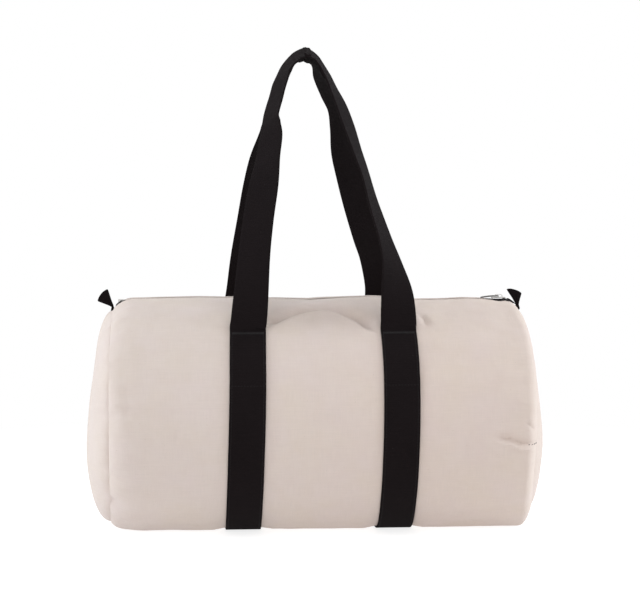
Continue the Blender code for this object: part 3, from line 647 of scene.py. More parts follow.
def set_along(tree, start, end, shape):
    """Ends a tree: the shape at each pitch of the path, X along it and Z the stored way up."""
    given = start.outputs
    path = node(tree, "GeometryNodeMeshToCurve", {0: given["Geometry"]})
    spaced = node(tree, "GeometryNodeResampleCurve", {"Curve": path, "Length": given["Pitch"]}, mode="LENGTH")
    up = node(tree, "GeometryNodeInputNamedAttribute", {"Name": "up"}, data_type="FLOAT_VECTOR")
    aligned = partial(node, tree, "FunctionNodeAlignRotationToVector")
    ahead = aligned({"Vector": node(tree, "GeometryNodeInputTangent")}, axis="X")
    facing = aligned({"Rotation": ahead, "Vector": up}, axis="Z", pivot_axis="X")
    inputs = {"Points": spaced, "Instance": shape, "Rotation": facing}
    each = node(tree, "GeometryNodeInstanceOnPoints", inputs)
    real = node(tree, "GeometryNodeRealizeInstances", {0: each})
    smooth = node(tree, "GeometryNodeSetShadeSmooth", {"Geometry": real})
    done = node(tree, "GeometryNodeSetMaterial", {"Geometry": smooth, "Material": given["Finish"]})
    fill(tree, end, {0: done})
    return tree


def stitch_tree():
    """A row of stitches: one plump thread at each pitch of a path."""
    tree, start, end = row_tree("lockstitch_row", Slant="Float")
    thread = node(tree, "GeometryNodeMeshUVSphere", {"Segments": 6, "Rings": 5, "Radius": 0.5})
    lying = node(tree, "GeometryNodeTransform", {"Geometry": thread, "Rotation": (0, math.pi / 2, 0)})
    sized = node(tree, "GeometryNodeTransform", {"Geometry": lying, "Scale": start.outputs["Size"]})
    slant = node(tree, "ShaderNodeCombineXYZ", {"Z": start.outputs["Slant"]})
    slanted = node(tree, "GeometryNodeTransform", {"Geometry": sized, "Rotation": slant})
    return set_along(tree, start, end, slanted)


def coil_tree():
    """Zip teeth: one loop of monofilament at each pitch of a path."""
    tree, start, end = row_tree("zip_coil_row", Filament="Float")
    loop = node(tree, "GeometryNodeCurvePrimitiveCircle", {"Resolution": 10, "Radius": 0.5})
    stood = (math.radians(90), 0, math.radians(78))
    upright = node(tree, "GeometryNodeTransform", {"Geometry": loop, "Rotation": stood})
    sized = node(tree, "GeometryNodeTransform", {"Geometry": upright, "Scale": start.outputs["Size"]})
    inputs = {"Resolution": 5, "Radius": start.outputs["Filament"]}
    section = node(tree, "GeometryNodeCurvePrimitiveCircle", inputs)
    tooth = node(tree, "GeometryNodeCurveToMesh", {"Curve": sized, "Profile Curve": section})
    return set_along(tree, start, end, tooth)


def repeated(name, tree, rows, finish, values):
    """A plain mesh made by a tree from rows of path points, each with the direction that faces up."""
    mesh = bpy.data.meshes.new(name)
    points, ups, edges = [], [], []
    for path, up in rows:
        edges += [(len(points) + k, len(points) + k + 1) for k in range(len(path) - 1)]
        points += np.asarray(path).tolist()
        ups.append(np.broadcast_to(up, np.shape(path)))
    mesh.from_pydata(points, edges, [])
    stored = mesh.attributes.new("up", "FLOAT_VECTOR", "POINT")
    stored.data.foreach_set("vector", np.concatenate(ups).astype(np.float32).ravel())
    piece = shown(name, mesh)
    modifier = piece.modifiers.new("repeats", "NODES")
    modifier.node_group = TREES[tree]
    values = {**values, "Finish": FINISHES[finish]}
    for socket in TREES[tree].interface.items_tree:
        if socket.in_out == "INPUT" and socket.name in values:
            modifier[socket.identifier] = values[socket.name]
    made = bpy.data.meshes.new_from_object(piece.evaluated_get(bpy.context.evaluated_depsgraph_get()))
    piece.modifiers.remove(modifier)
    piece.data = made
    bpy.data.meshes.remove(mesh)
    made.name = name
    if "up" in made.attributes:
        made.attributes.remove(made.attributes["up"])
    return piece


# Materials


def step(tree, operation, *values):
    """One step of arithmetic on sockets or numbers."""
    return node(tree, "ShaderNodeMath", dict(enumerate(values)), operation=operation).outputs[0]


def product(tree, first, second):
    """Two values multiplied."""
    return step(tree, "MULTIPLY", first, second)


def mixed(tree, factor, first, second, blend="MIX"):
    """One colour mixed over another."""
    inputs = {0: factor, 6: first, 7: second}
    return node(tree, "ShaderNodeMix", inputs, data_type="RGBA", blend_type=blend).outputs[2]


def grain(tree, place, scale, detail=2.0, roughness=0.5):
    """Noise from 0 to 1 at a place."""
    inputs = {"Vector": place, "Scale": scale, "Detail": detail, "Roughness": roughness}
    return node(tree, "ShaderNodeTexNoise", inputs).outputs["Fac"]


def ramped(tree, value, low, high):
    """A value spread from 0 to 1 between two levels."""
    return node(tree, "ShaderNodeMapRange", {"Value": value, "From Min": low, "From Max": high}).outputs[0]


def combined(tree, *parts):
    """A vector from numbers or sockets."""
    return node(tree, "ShaderNodeCombineXYZ", dict(enumerate(parts))).outputs[0]


def stretched(tree, place, rotation, scale):
    """A place turned and stretched, for fibres and scratches."""
    return node(tree, "ShaderNodeMapping", {0: place, "Rotation": rotation, "Scale": scale}).outputs[0]


def effect(name, *outputs, pitch=False):
    """A shader node group that turns a place, and for woven cloth a pitch, into values."""
    inputs = {"Place": "Vector", "Pitch": "Float"} if pitch else {"Place": "Vector"}
    return new_tree("ShaderNodeTree", name, inputs, dict.fromkeys(outputs, "Float"))


def threads_at(tree, start):
    """The place on the cloth counted in threads, across and along."""
    parted = node(tree, "ShaderNodeSeparateXYZ", {0: start.outputs["Place"]})
    return [step(tree, "DIVIDE", parted.outputs[k], start.outputs["Pitch"]) for k in (0, 1)]


def plain_weave():
    """Plain woven threads with slubs: the height of the cloth and the shade of the thread on top."""
    tree, start, end = effect("plain_weave", "Height", "Shade", pitch=True)
    across, along = threads_at(tree, start)
    wave_u, wave_v = (step(tree, "SINE", product(tree, way, math.pi)) for way in (across, along))
    warp_on_top = step(tree, "GREATER_THAN", product(tree, wave_u, wave_v), 0.0)
    round_u, round_v = (step(tree, "ABSOLUTE", wave) for wave in (wave_u, wave_v))
    warp = product(tree, round_u, step(tree, "POWER", round_v, 0.4))
    weft = product(tree, round_v, step(tree, "POWER", round_u, 0.4))
    warp_slub = grain(tree, combined(tree, across, product(tree, along, 0.035)), 0.9, 1.0)
    weft_slub = grain(tree, combined(tree, product(tree, across, 0.035), along, 7.0), 0.9, 1.0)
    height = step(tree, "MULTIPLY_ADD", step(tree, "SUBTRACT", warp, weft), warp_on_top, weft)
    shade_gap = step(tree, "SUBTRACT", warp_slub, weft_slub)
    shade = step(tree, "MULTIPLY_ADD", shade_gap, warp_on_top, weft_slub)
    thick = product(tree, height, step(tree, "MULTIPLY_ADD", shade, 0.9, 0.45))
    both = product(tree, step(tree, "ADD", warp_slub, weft_slub), 0.5)
    on_top = step(tree, "ADD", product(tree, shade, 0.5), product(tree, both, 0.5))
    fill(tree, end, {"Height": thick, "Shade": on_top})
    return tree


def herringbone():
    """Twilled webbing in bands of changing slant: its height, and the tone of its cords, which follows their
    relief as painted sheen on top and painted shade between them, with uneven yarn.
    """
    tree, start, end = effect("herringbone_twill", "Height", "Shade", pitch=True)
    across, along = threads_at(tree, start)
    zigzag = product(tree, step(tree, "PINGPONG", across, 4.0), 0.9)
    phase = product(tree, step(tree, "ADD", along, zigzag), math.pi)
    cord = step(tree, "ABSOLUTE", step(tree, "SINE", phase))
    yarn = step(tree, "ABSOLUTE", step(tree, "SINE", product(tree, across, math.tau)))
    slub = grain(tree, combined(tree, product(tree, across, 0.12), along), 0.8, 1.0)
    height = product(tree, step(tree, "MULTIPLY_ADD", yarn, 0.35, cord), 0.74)
    # Painted sheen and shade: the cords' own relief sets their tone, paler on top and darker in the grooves,
    # with uneven yarn mixed in.
    shade = product(tree, step(tree, "ADD", cord, slub), 0.5)
    fill(tree, end, {"Height": height, "Shade": shade})
    return tree


def mottling():
    """Soft patches that handling and damp leave in cloth, at two sizes."""
    tree, start, end = effect("cloth_mottling", "Broad", "Fine")
    broad = ramped(tree, grain(tree, start.outputs["Place"], 21.0, 2.5, 0.55), 0.32, 0.68)
    fine = ramped(tree, grain(tree, start.outputs["Place"], 88.0, 2.0, 0.6), 0.3, 0.7)
    fill(tree, end, {"Broad": broad, "Fine": fine})
    return tree


def lint():
    """Stray pale fibres that cling to dark cloth, as a mask."""
    tree, start, end = effect("clinging_lint", "Mask")
    place = start.outputs["Place"]
    drawn_out = stretched(tree, place, (0.4, 0.3, 0.9), (900.0, 140.0, 900.0))
    fibres = ramped(tree, grain(tree, drawn_out, 1.0, 1.0), 0.74, 0.80)
    patches = ramped(tree, grain(tree, place, 60.0, 1.0), 0.45, 0.7)
    fill(tree, end, {"Mask": product(tree, fibres, patches)})
    return tree


def scuffs():
    """Fine scratches and dull spots on plated metal: a roughness share and a height."""
    tree, start, end = effect("plating_scuffs", "Dull", "Height")
    place = start.outputs["Place"]
    drawn_out = stretched(tree, place, (0.0, 0.0, 0.5), (300.0, 4200.0, 1500.0))
    scratches = ramped(tree, grain(tree, drawn_out, 1.0, 2.0), 0.4, 0.75)
    spots = ramped(tree, grain(tree, place, 700.0, 3.0), 0.4, 0.8)
    dull = product(tree, step(tree, "ADD", scratches, spots), 0.5)
    fill(tree, end, {"Dull": dull, "Height": scratches})
    return tree


def used(tree, group, **inputs):
    """What a shared effect puts out in a material."""
    return node(tree, "ShaderNodeGroup", inputs, node_tree=group).outputs


def new_finish(name, constants):
    """A material with its shader, and the tree's places on the flat cloth and in space."""
    made = bpy.data.materials.new(name)
    made.use_nodes = True
    tree = made.node_tree
    shader = tree.nodes["Principled BSDF"]
    fill(tree, shader, constants)
    flat = node(tree, "ShaderNodeUVMap", uv_map="UVMap").outputs[0]
    return made, tree, shader, flat, node(tree, "ShaderNodeTexCoord").outputs["Object"]


def surfaced(tree, shader, base, rough, height, distance):
    """Feeds a colour, a roughness and a height, which stands for a distance at 1, to a shader."""
    normal = node(tree, "ShaderNodeBump", {"Height": height, "Distance": distance})
    fill(tree, shader, {"Base Color": base, "Roughness": rough, "Normal": normal})


def shifted(colour, share):
    """A colour a share darker or lighter."""
    return tuple(min(c * share, 1.0) for c in colour[:3]) + (1.0,)


def canvas_finish(name, colour, pitch, effects):
    """Unbleached plain canvas: slubbed threads, soft patches, warmer and a little darker towards the right
    end, seed flecks and crumpling.
    """
    look = {"Specular IOR Level": 0.25, "Sheen Weight": 0.12, "Sheen Roughness": 0.55}
    made, tree, shader, flat, space = new_finish(name, look)
    weave = used(tree, effects["weave"], Place=flat, Pitch=pitch)
    patches = used(tree, effects["mottling"], Place=space)
    red, green, blue = colour[:3]
    warm = (red * 1.015, green * 0.985, blue * 0.945, 1.0)
    rosy = (red * 1.02, green * 0.985, blue * 0.995, 1.0)
    base = mixed(tree, patches["Broad"], warm, rosy)
    base = mixed(tree, product(tree, patches["Fine"], 0.35), base, shifted(colour, 1.06))
    # Towards the right end the colour is multiplied warmer and a little darker.
    along = node(tree, "ShaderNodeSeparateXYZ", {0: space}).outputs["X"]
    base = mixed(tree, ramped(tree, along, -0.12, 0.10), base, (1.0, 0.975, 0.955, 1.0), "MULTIPLY")
    darker = step(tree, "MULTIPLY_ADD", ramped(tree, weave["Shade"], 0.30, 0.70), -0.16, 0.16)
    base = mixed(tree, darker, base, shifted(colour, 0.62))
    seeds = node(tree, "ShaderNodeTexVoronoi", {"Vector": space, "Scale": 105.0}).outputs["Distance"]
    flecks = product(tree, step(tree, "LESS_THAN", seeds, 0.035), 0.35)
    base = mixed(tree, flecks, base, (0.30, 0.21, 0.13, 1.0))
    rough = step(tree, "MULTIPLY_ADD", weave["Height"], 0.08, 0.84)
    height = step(tree, "MULTIPLY_ADD", grain(tree, space, 150.0, 3.0, 0.6), 1.6, weave["Height"])
    surfaced(tree, shader, base, rough, height, 0.00016)
    return made


def webbing_finish(name, colour, pitch, effects, rough=0.8):
    """Dark cotton webbing in herringbone twill, with painted sheen on the tops of its cords and painted shade
    in the grooves between them, and some lint.
    """
    look = {"Specular IOR Level": 0.06, "Sheen Weight": 0.004, "Sheen Roughness": 0.4}
    made, tree, shader, flat, space = new_finish(name, look)
    twill = used(tree, effects["herringbone"], Place=flat, Pitch=pitch)
    patches = used(tree, effects["mottling"], Place=space)
    fibres = used(tree, effects["lint"], Place=space)
    # Painted sheen and painted shade: the cords' tops are coloured paler and the grooves darker, following
    # the twill's relief.
    base = mixed(tree, twill["Shade"], shifted(colour, 0.55), shifted(colour, 1.5))
    base = mixed(tree, product(tree, patches["Broad"], 0.4), base, shifted(colour, 1.5))
    base = mixed(tree, product(tree, fibres["Mask"], 0.25), base, (0.16, 0.14, 0.13, 1.0))
    rough = step(tree, "MULTIPLY_ADD", twill["Height"], 0.1, rough)
    surfaced(tree, shader, base, rough, twill["Height"], 0.00022)
    return made


def metal_finish(name, colour, rough, effects):
    """Plated metal with fine scuffs."""
    made, tree, shader, _flat, space = new_finish(name, {"Metallic": 1.0})
    worn = used(tree, effects["scuffs"], Place=space)
    base = mixed(tree, worn["Dull"], shifted(colour, 1.05), shifted(colour, 0.82))
    rough = step(tree, "MULTIPLY_ADD", worn["Dull"], 0.2, rough)
    surfaced(tree, shader, base, rough, worn["Height"], 0.00002)
    return made


def thread_finish(name, colour, effects, rough=0.6):
    """Sewing thread, a little uneven in shade, or moulded filament of the same kind."""
    made, tree, shader, _flat, space = new_finish(name, {"Specular IOR Level": 0.3, "Sheen Weight": 0.02})
    patches = used(tree, effects["mottling"], Place=space)
    base = mixed(tree, patches["Fine"], shifted(colour, 0.75), shifted(colour, 1.3))
    ply = grain(tree, space, 2600.0, 1.0)
    surfaced(tree, shader, base, step(tree, "MULTIPLY_ADD", ply, 0.2, rough), ply, 0.00004)
    return made


def make_finishes(sizes, colours):
    """All the finishes by name, and the shared effects that they use."""
    effects = {"weave": plain_weave(), "herringbone": herringbone()}
    effects.update(mottling=mottling(), lint=lint(), scuffs=scuffs())
    canvas, webbing = tuple(colours.canvas), tuple(colours.webbing)
    return {
        "canvas": canvas_finish("unbleached_canvas", canvas, sizes.thread_pitch, effects),
        "webbing": webbing_finish("black_cotton_webbing", webbing, sizes.twill_pitch, effects),
        "tape": webbing_finish("black_zip_tape", webbing, sizes.twill_pitch * 0.5, effects, 0.7),
        "nylon": thread_finish("black_nylon_teeth", tuple(colours.nylon), effects, 0.35),
        "nickel": metal_finish("nickel_plate", tuple(colours.nickel), 0.22, effects),
        "wire": metal_finish("dark_wire", tuple(colours.wire), 0.30, effects),
        "binding": canvas_finish("cotton_binding_tape", shifted(canvas, 0.9), sizes.thread_pitch, effects),
        "thread": thread_finish("black_thread", webbing, effects),
        "pale_thread": thread_finish("natural_thread", shifted(canvas, 0.93), effects),
    }


# Cloth


def mouth_blend(piece, face, side):
    """Bakes a piece of the body's cloth in place; where the mouth starts and its lip are worked out, but
    nothing lets the piece follow the mouth.
    """
    start = Vector((0, face * PANEL_FOOT_Y, PANEL_FOOT_HEIGHT))
    lip = Vector((0, face * LIP_Y, LIP_HEIGHT))
    if side:
        slope = (lip - start) / (lip - start).length_squared
        slope.x = -side / (HALF_LENGTH - STRAP_OFFSET)
        start.x = side * STRAP_OFFSET
    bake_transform(piece)


def zip_blend(piece):
    """Bakes a piece along half of a zip's run in place; nothing lets it follow the mouth."""
    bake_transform(piece)


def body_angles():
    """Angles from the lip of the mouth to straight down."""
    reach = (math.pi - LIP_ANGLE) * BARREL_RADIUS
    count = round((reach - HEM_STEPS[-1]) / CLOTH_STEP)
    rest = np.linspace(HEM_STEPS[-1], reach, count + 1)[1:]
    return LIP_ANGLE + np.concatenate([HEM_STEPS, rest]) / BARREL_RADIUS


def body_stations(side, angles):
    """Places along the barrel for each angle, and how far each is turned in past the seam."""
    if side == 0:
        places = np.tile(np.linspace(-STRAP_OFFSET, STRAP_OFFSET, 63), (len(angles), 1))
        return places, np.zeros_like(places)
    reach = shoulder(side, angles)[:, None]
    straight = HALF_LENGTH - reach
    run = STRAP_OFFSET + (straight - STRAP_OFFSET) * np.linspace(0, 1, 45)[:-1]
    drawn = HALF_LENGTH - reach * (1 - np.sin(np.linspace(0, math.pi / 2, 17)))
    turned_edge = np.full((len(angles), 2), HALF_LENGTH)
    places = side * np.concatenate([run, drawn, turned_edge], axis=1)
    turned = np.zeros_like(places)
    turned[:, -2:] = TURNED_IN
    return places, turned


def body_cloth(word, face, part, side, sizes):
    """One of the six pieces of the body's canvas."""
    angles = body_angles()
    x, turned = body_stations(side, angles)
    angle = np.broadcast_to((face * angles)[:, None], x.shape)
    arc = (np.abs(angle) - LIP_ANGLE) * BARREL_RADIUS
    pushed = swell(x, angle, sizes.pucker_depth)
    sink = LIP_SINK * (1 - eased(arc / LIP_SINK_REACH))
    hem = sizes.hem_lift * (1 - eased((arc - HEM_WIDTH) / HEM_FADE))
    edge = 1 - np.sqrt(1 - np.clip((HEM_ROUND - arc) / HEM_ROUND, 0.0, 1.0) ** 2)
    middle = (CANVAS_THICKNESS + hem) / 2
    depth = cinch(x, angle) + sink + turned
    outer = on_canvas(x, angle, depth - hem / 2 + edge * middle, pushed)
    inner = on_canvas(x, angle, depth + CANVAS_THICKNESS + hem / 2 - edge * middle * 0.9, pushed)
    for grid in (outer, inner):
        grid[..., 0] -= np.sign(x) * turned * 0.7
    piece = sheet_piece(f"{word}_{part}_body_cloth", outer, inner, "canvas", x, angle * BARREL_RADIUS)
    mouth_blend(piece, face, side)
    fitted(piece, "canvas", "barrel_canvas", f"{word}_mouth_panel")


def end_profile(side, share, angle, sizes):
    """How far an end panel stands out from its seam's even place, at a share of its radius."""
    more, start, run, power, root = DOMES[side]
    bulge = sizes.left_bulge if side < 0 else sizes.right_bulge
    height = bulge + more * eased((-share * np.cos(angle) - start) / run)
    inward = seam_step(side, angle) * share**2 + SEAM_STEPS[side][1] * (1 - share**2)
    return height * np.clip(1 - share**power, 0, 1) ** root - inward


def end_panel(word, side, sizes):
    """A round end panel, stuffed out, with gathers round its seam."""
    turns = round_turns(192) - math.pi
    rim_way = RIM_SHARE * (1 - np.linspace(0, 1, 19)[1:]) ** 2.3
    shares = 1 - np.concatenate([np.linspace(1, RIM_SHARE, 26), rim_way])
    rim = seam_radius(side, turns) - PANEL_GAP
    gathers = sizes.pucker_depth * 0.9 * seam_pucker(turns, side)
    face_place = HALF_LENGTH - PANEL_INSET
    roll_height, roll_length, roll_seed = PANEL_ROLL
    into = np.array([side * CANVAS_THICKNESS, 0, 0])
    rings = []
    for share in shares[1:]:
        away = (1 - share) * SEAM_RADIUS
        pleat = gathers * math.exp(-away / END_GATHER_REACH) * (1 - 0.7 * math.exp(-away / SEAM_HOLD))
        ring_y, ring_z = rim * share * np.sin(turns), rim * share * np.cos(turns)
        rolling = roll_height * soft_noise(ring_y, ring_z, side * 0.3, roll_length, roll_seed)
        bulge = end_profile(side, share, turns, sizes)
        x = side * (face_place + bulge + pleat + rolling * (1 - share**4))
        rings.append(rested(ring_points(x, rim * share, turns), turns, PANEL_REST))
    inner = [ring - into for ring in rings[::-1]]
    turned_in = side * (HALF_LENGTH - PANEL_TURN_IN - seam_step(side, turns))
    rings += [ring_points(turned_in, radius, turns) for radius in (rim, rim - CANVAS_THICKNESS)]
    points, faces = ring_skin(rings + inner, capped=False)
    top = np.array([side * (face_place + float(end_profile(side, 0.0, 0.0, sizes))), 0, AXIS_HEIGHT])
    size, count = len(turns), len(points)
    points = np.concatenate([points, [top, top - into]])
    faces += [[count, (k + 1) % size, k] for k in range(size)]
    faces += [[count + 1, count - size + k, count - size + (k + 1) % size] for k in range(size)]
    piece = new_piece(f"{word}_end_cloth", points, faces, "canvas", points[:, 1:3])
    fitted(piece, "canvas", f"{word}_end_panel", body="shell")


def seam_binding(word, side):
    """The folded tape that binds the raw edges inside an end seam."""
    turns = round_turns(144)
    angle = np.remainder(turns + math.pi, math.tau) - math.pi
    back, down = np.array(BINDING_SECTION).T
    wave = sum(height * np.sin(turns * count + start) for height, count, start in BINDING_WAVES)
    reach = seam_radius(side, angle) - BINDING_DEPTH
    radius = reach[:, None] + down + wave[:, None] * (down < -0.001)
    x = side * (HALF_LENGTH - BINDING_BACK - back - seam_step(side, angle)[:, None])
    points, faces = ring_skin(ring_points(x, radius, angle[:, None]), closed=True)
    round_way = (SEAM_RADIUS - BINDING_DEPTH) * turns[:, None]
    flat = np.broadcast_arrays(round_way, BINDING_FLAT_STEP * np.arange(len(back)))
    piece = new_piece(f"{word}_binding_tape", points, faces, "binding", np.stack(flat, axis=-1))
    fitted(piece, "binding", f"{word}_seam_binding", body="shell")


# Webbing


def run_lengths(line):
    """Distance from the start of a line to each of its points."""
    return np.concatenate([[0], np.cumsum(np.linalg.norm(np.diff(line, axis=0), axis=1))])


def evenly(line, spacing, *rows):
    """A line's points and the rows that go with it, spaced evenly along it."""
    length = run_lengths(line)
    wanted = np.linspace(0, length[-1], int(length[-1] / spacing) + 1)
    return [np.array([np.interp(wanted, length, column) for column in row.T]).T for row in (line, *rows)]


def webbing_piece(name, centres, across, through, sizes, ground=-math.inf):
    """A run of ribbed webbing, cut off flat where it stands on the ground."""
    along = run_lengths(centres)
    thickness, half = STRAP_THICKNESS, STRAP_WIDTH / 2
    round_off = thickness * 0.42
    flat_half = half - round_off
    face_u = np.linspace(-flat_half, flat_half, 15)
    turns = np.linspace(math.pi / 2, -math.pi / 2, 5)[1:-1]
    u = np.concatenate([face_u, flat_half + round_off * np.cos(turns), face_u[::-1],
                        -flat_half - round_off * np.cos(turns)])
    height = np.concatenate([np.ones(15), np.sin(turns), -np.ones(15), -np.sin(turns)]) * thickness / 2
    lift, inside, width = SELVEDGE
    selvedge = np.sign(height) * lift * np.exp(-(((half - np.abs(u)) - inside) / width) ** 2)
    rib = sizes.rib_height * np.cos(math.tau * along / sizes.rib_pitch)[:, None]
    level = height * (1 + rib * 2 / thickness) + selvedge
    rings = centres[:, None] + across[:, None] * u[:, None] + through[:, None] * level[..., None]
    points, faces = ring_skin(rings)
    points[:, 2] = np.maximum(points[:, 2], ground)
    flat = np.stack(np.broadcast_arrays(u, along[:, None]), axis=-1)
    return new_piece(name, points, faces, "webbing", flat)


def band_place(x, turn, depth):
    """Points of a strap round the body; turn runs from the front hinge under the bag to the rear one."""
    angle = np.where(turn > math.pi, math.tau - turn, -turn)
    lift = STRAP_STEP * (1 - sunk(angle)) - depth
    return on_canvas(x + strap_sway(x, angle), angle, -lift, 0.0)


def band_run(side, spacing, depth=STRAP_THICKNESS / 2):
    """Centre line of a strap round the body, with the direction that faces out at each point."""
    start = HINGE_ANGLE - BAND_OVERRUN / PIVOT_RADIUS
    turns = np.linspace(start, math.tau - start, 2400)
    [centres] = evenly(band_place(np.full_like(turns, side * STRAP_OFFSET), turns, depth), spacing)
    outward = np.cross(unit(np.gradient(centres, axis=0)), X_WAY)
    away = centres - AXIS_HEIGHT * Z_WAY
    return centres, outward * np.sign((outward * away).sum(axis=1))[:, None]


def strap_band(word, side, sizes):
    """A strap sewn round the body."""
    centres, outward = band_run(side, sizes.rib_pitch / 4)
    across = np.tile(X_WAY, (len(centres), 1))
    piece = webbing_piece(f"{word}_body_webbing", centres, across, outward, sizes, ground=0.0)
    fitted(piece, "webbing", f"{word}_strap_band", body="shell")


def leg_run(rows, side, face, column):
    """Finely spaced centres and width directions of one leg, from the hinge up to the apex."""
    rows = np.array(rows)[:, [0, column, column + 1]]
    padded = np.concatenate([rows[:1], rows, rows[-1:]])
    t = np.linspace(0, 1, 25)[:-1, None]
    filled = []
    for a, b, c, d in zip(padded, padded[1:], padded[2:], padded[3:]):
        bend = (2 * a - 5 * b + 4 * c - d) * t + (3 * b - a - 3 * c + d) * t * t
        filled.append(b + 0.5 * t * ((c - a) + bend))
    rise, inward, twist = np.concatenate([*filled, rows[-1:]]).T
    x = side * STRAP_OFFSET + (HANDLE_APEX_X - side * STRAP_OFFSET) * inward
    y = face * (PIVOT_Y + (APEX_Y - PIVOT_Y) * rise)
    z = PIVOT_HEIGHT + (APEX_HEIGHT - PIVOT_HEIGHT) * rise
    turned = math.pi / 2 * twist
    level = np.sin(turned)
    width = np.stack([np.cos(turned), -side * face * level, side * level * np.tan(APEX_TILT * twist)], axis=1)
    return np.stack([x, y, z], axis=1), width


def handle(word, face, sizes):
    """A carrying loop of webbing: flat on the body at its ends and turned face up where it is held."""
    column = 1 if face < 0 else 3
    left, left_width = leg_run(LEFT_LEG, -1, face, column)
    right, right_width = leg_run(RIGHT_LEG, 1, face, column)
    climb = np.array([APEX_Y - PIVOT_Y, APEX_HEIGHT - PIVOT_HEIGHT])
    back, up = climb / np.linalg.norm(climb)
    outward = np.array([0, -face * up, back]) * STRAP_THICKNESS / 2
    centres = np.concatenate([left, right[::-1][1:]]) + outward
    width = np.concatenate([left_width, -right_width[::-1][1:]])
    centres, width = evenly(centres, sizes.rib_pitch / 4, width)
    ahead = unit(np.gradient(centres, axis=0))
    across = unit(width - ahead * (width * ahead).sum(axis=1)[:, None])
    piece = webbing_piece(f"{word}_loop_webbing", centres, across, np.cross(ahead, across), sizes)
    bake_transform(piece)
    fitted(piece, "webbing", f"{word}_handle")


def facing_out(angle):
    """The direction away from the barrel's axis at an angle."""
    return np.array([0, math.sin(angle), math.cos(angle)])


def stitched(name, rows, finish, pitch, size, slant=0.0):
    """Stitches along rows of points, each with the direction that faces up."""
    return repeated(name, "stitch", rows, finish, {"Pitch": pitch, "Size": size, "Slant": slant})


def strap_stitching(word, side, sizes):
    """The lines of stitches that hold a strap to the body along its edges."""
    centres, outward = band_run(side, BAND_STEP, 0.0)
    reach = STRAP_WIDTH / 2 - sizes.edge_margin
    line = centres[4:-4] + outward[4:-4] * STITCH_LIFT
    rows = [(line + edge * reach * X_WAY, outward[4:-4]) for edge in (-1, 1)]
    places = np.linspace(-1, 1, 25) * reach + side * STRAP_OFFSET
    for turn in STITCHED_TURNS:
        rows.append((band_place(places, np.full_like(places, turn), -STITCH_LIFT), facing_out(-turn)))
    size = (sizes.stitch_length, sizes.thread_width, sizes.thread_width * THREAD_FLATNESS)
    pitch = sizes.stitch_length * STRAP_STITCH_SHARE
    piece = stitched(f"{word}_webbing_stitches", rows, "thread", pitch, size)
    fitted(piece, "thread", body="shell")


def bar_tack(face_word, face, word, side):
    """A dense tack of thread across the webbing where it leaves the body."""
    reach = STRAP_WIDTH / 2 - TACK_MARGIN
    places = side * STRAP_OFFSET + np.linspace(-reach, reach, 30)
    middle = HINGE_ANGLE + TACK_BELOW / PIVOT_RADIUS
    turn = middle if face < 0 else math.tau - middle
    row = (band_place(places, np.full_like(places, turn), -TACK_LIFT), facing_out(-turn))
    name = f"{face_word}_{word}_tack"
    pieces = [
        stitched(f"{name}_{number}", [row], "thread", TACK_PITCH, TACK_STITCH, math.radians(slant))
        for number, slant in enumerate(TACK_SLANTS)
    ]
    fitted(merged(f"{name}_thread", pieces), "thread", f"{face_word}_{word}_bar_tack", body="shell")


def merged(name, pieces):
    """Several plain meshes as one piece."""
    shape = bmesh.new()
    for piece in pieces:
        shape.from_mesh(piece.data)
    mesh = bpy.data.meshes.new(name)
    shape.to_mesh(mesh)
    shape.free()
    for material in pieces[0].data.materials:
        mesh.materials.append(material)
    for piece in pieces:
        old = piece.data
        bpy.data.objects.remove(piece)
        bpy.data.meshes.remove(old)
    mesh.shade_smooth()
    return shown(name, mesh)


# Zip


def zip_line(x):
    """How far the zip sinks with the top of the bag; it is straight where the slider stands."""
    start, run = ZIP_STRAIGHTENS
    return np.minimum(top_line(x), 0.0) * (1 - eased((x - start) / run))


def zip_tape(word, face, half, side):
    """Half the length of one side's woven tape."""
    widths = np.array(TAPE_STEPS)
    angle = (face * (TAPE_START + widths) / TAPE_RADIUS)[:, None]
    x, angle = np.broadcast_arrays(np.linspace(0, side * PANEL_END, 90), angle)
    edge = np.minimum(widths, TAPE_WIDTH - widths)
    thin = TAPE_THICKNESS / 2 * (1 - np.sqrt(1 - np.clip(1 - edge / TAPE_ROUND, 0, 0.96) ** 2))[:, None]
    outer = ring_points(x, TAPE_RADIUS - thin + zip_line(x), angle)
    inner = ring_points(x, TAPE_RADIUS - TAPE_THICKNESS + thin + zip_line(x), angle)
    piece = sheet_piece(f"{word}_{half}_tape_cloth", outer, inner, "tape", angle * TAPE_RADIUS, x)
    zip_blend(piece)
    fitted(piece, "zip_tape", f"{word}_zip_tape")


def zip_teeth(word, face, half, side, sizes):
    """Half the length of one row of coil teeth."""
    x = np.linspace(COIL_START, 0, 120) if side < 0 else np.linspace(0, COIL_END, 120)
    if face > 0:
        x = x - side * sizes.coil_pitch / 2
    path = np.stack([x, np.full_like(x, face * COIL_Y), COIL_HEIGHT + zip_line(x)], axis=1)
    values = {"Pitch": sizes.coil_pitch, "Size": TOOTH_SIZE, "Filament": sizes.filament / 2}
    piece = repeated(f"{word}_{half}_coil_teeth", "coil", [(path, Z_WAY)], "nylon", values)
    zip_blend(piece)
    fitted(piece, "zip_nylon", f"{word}_zip_coil")


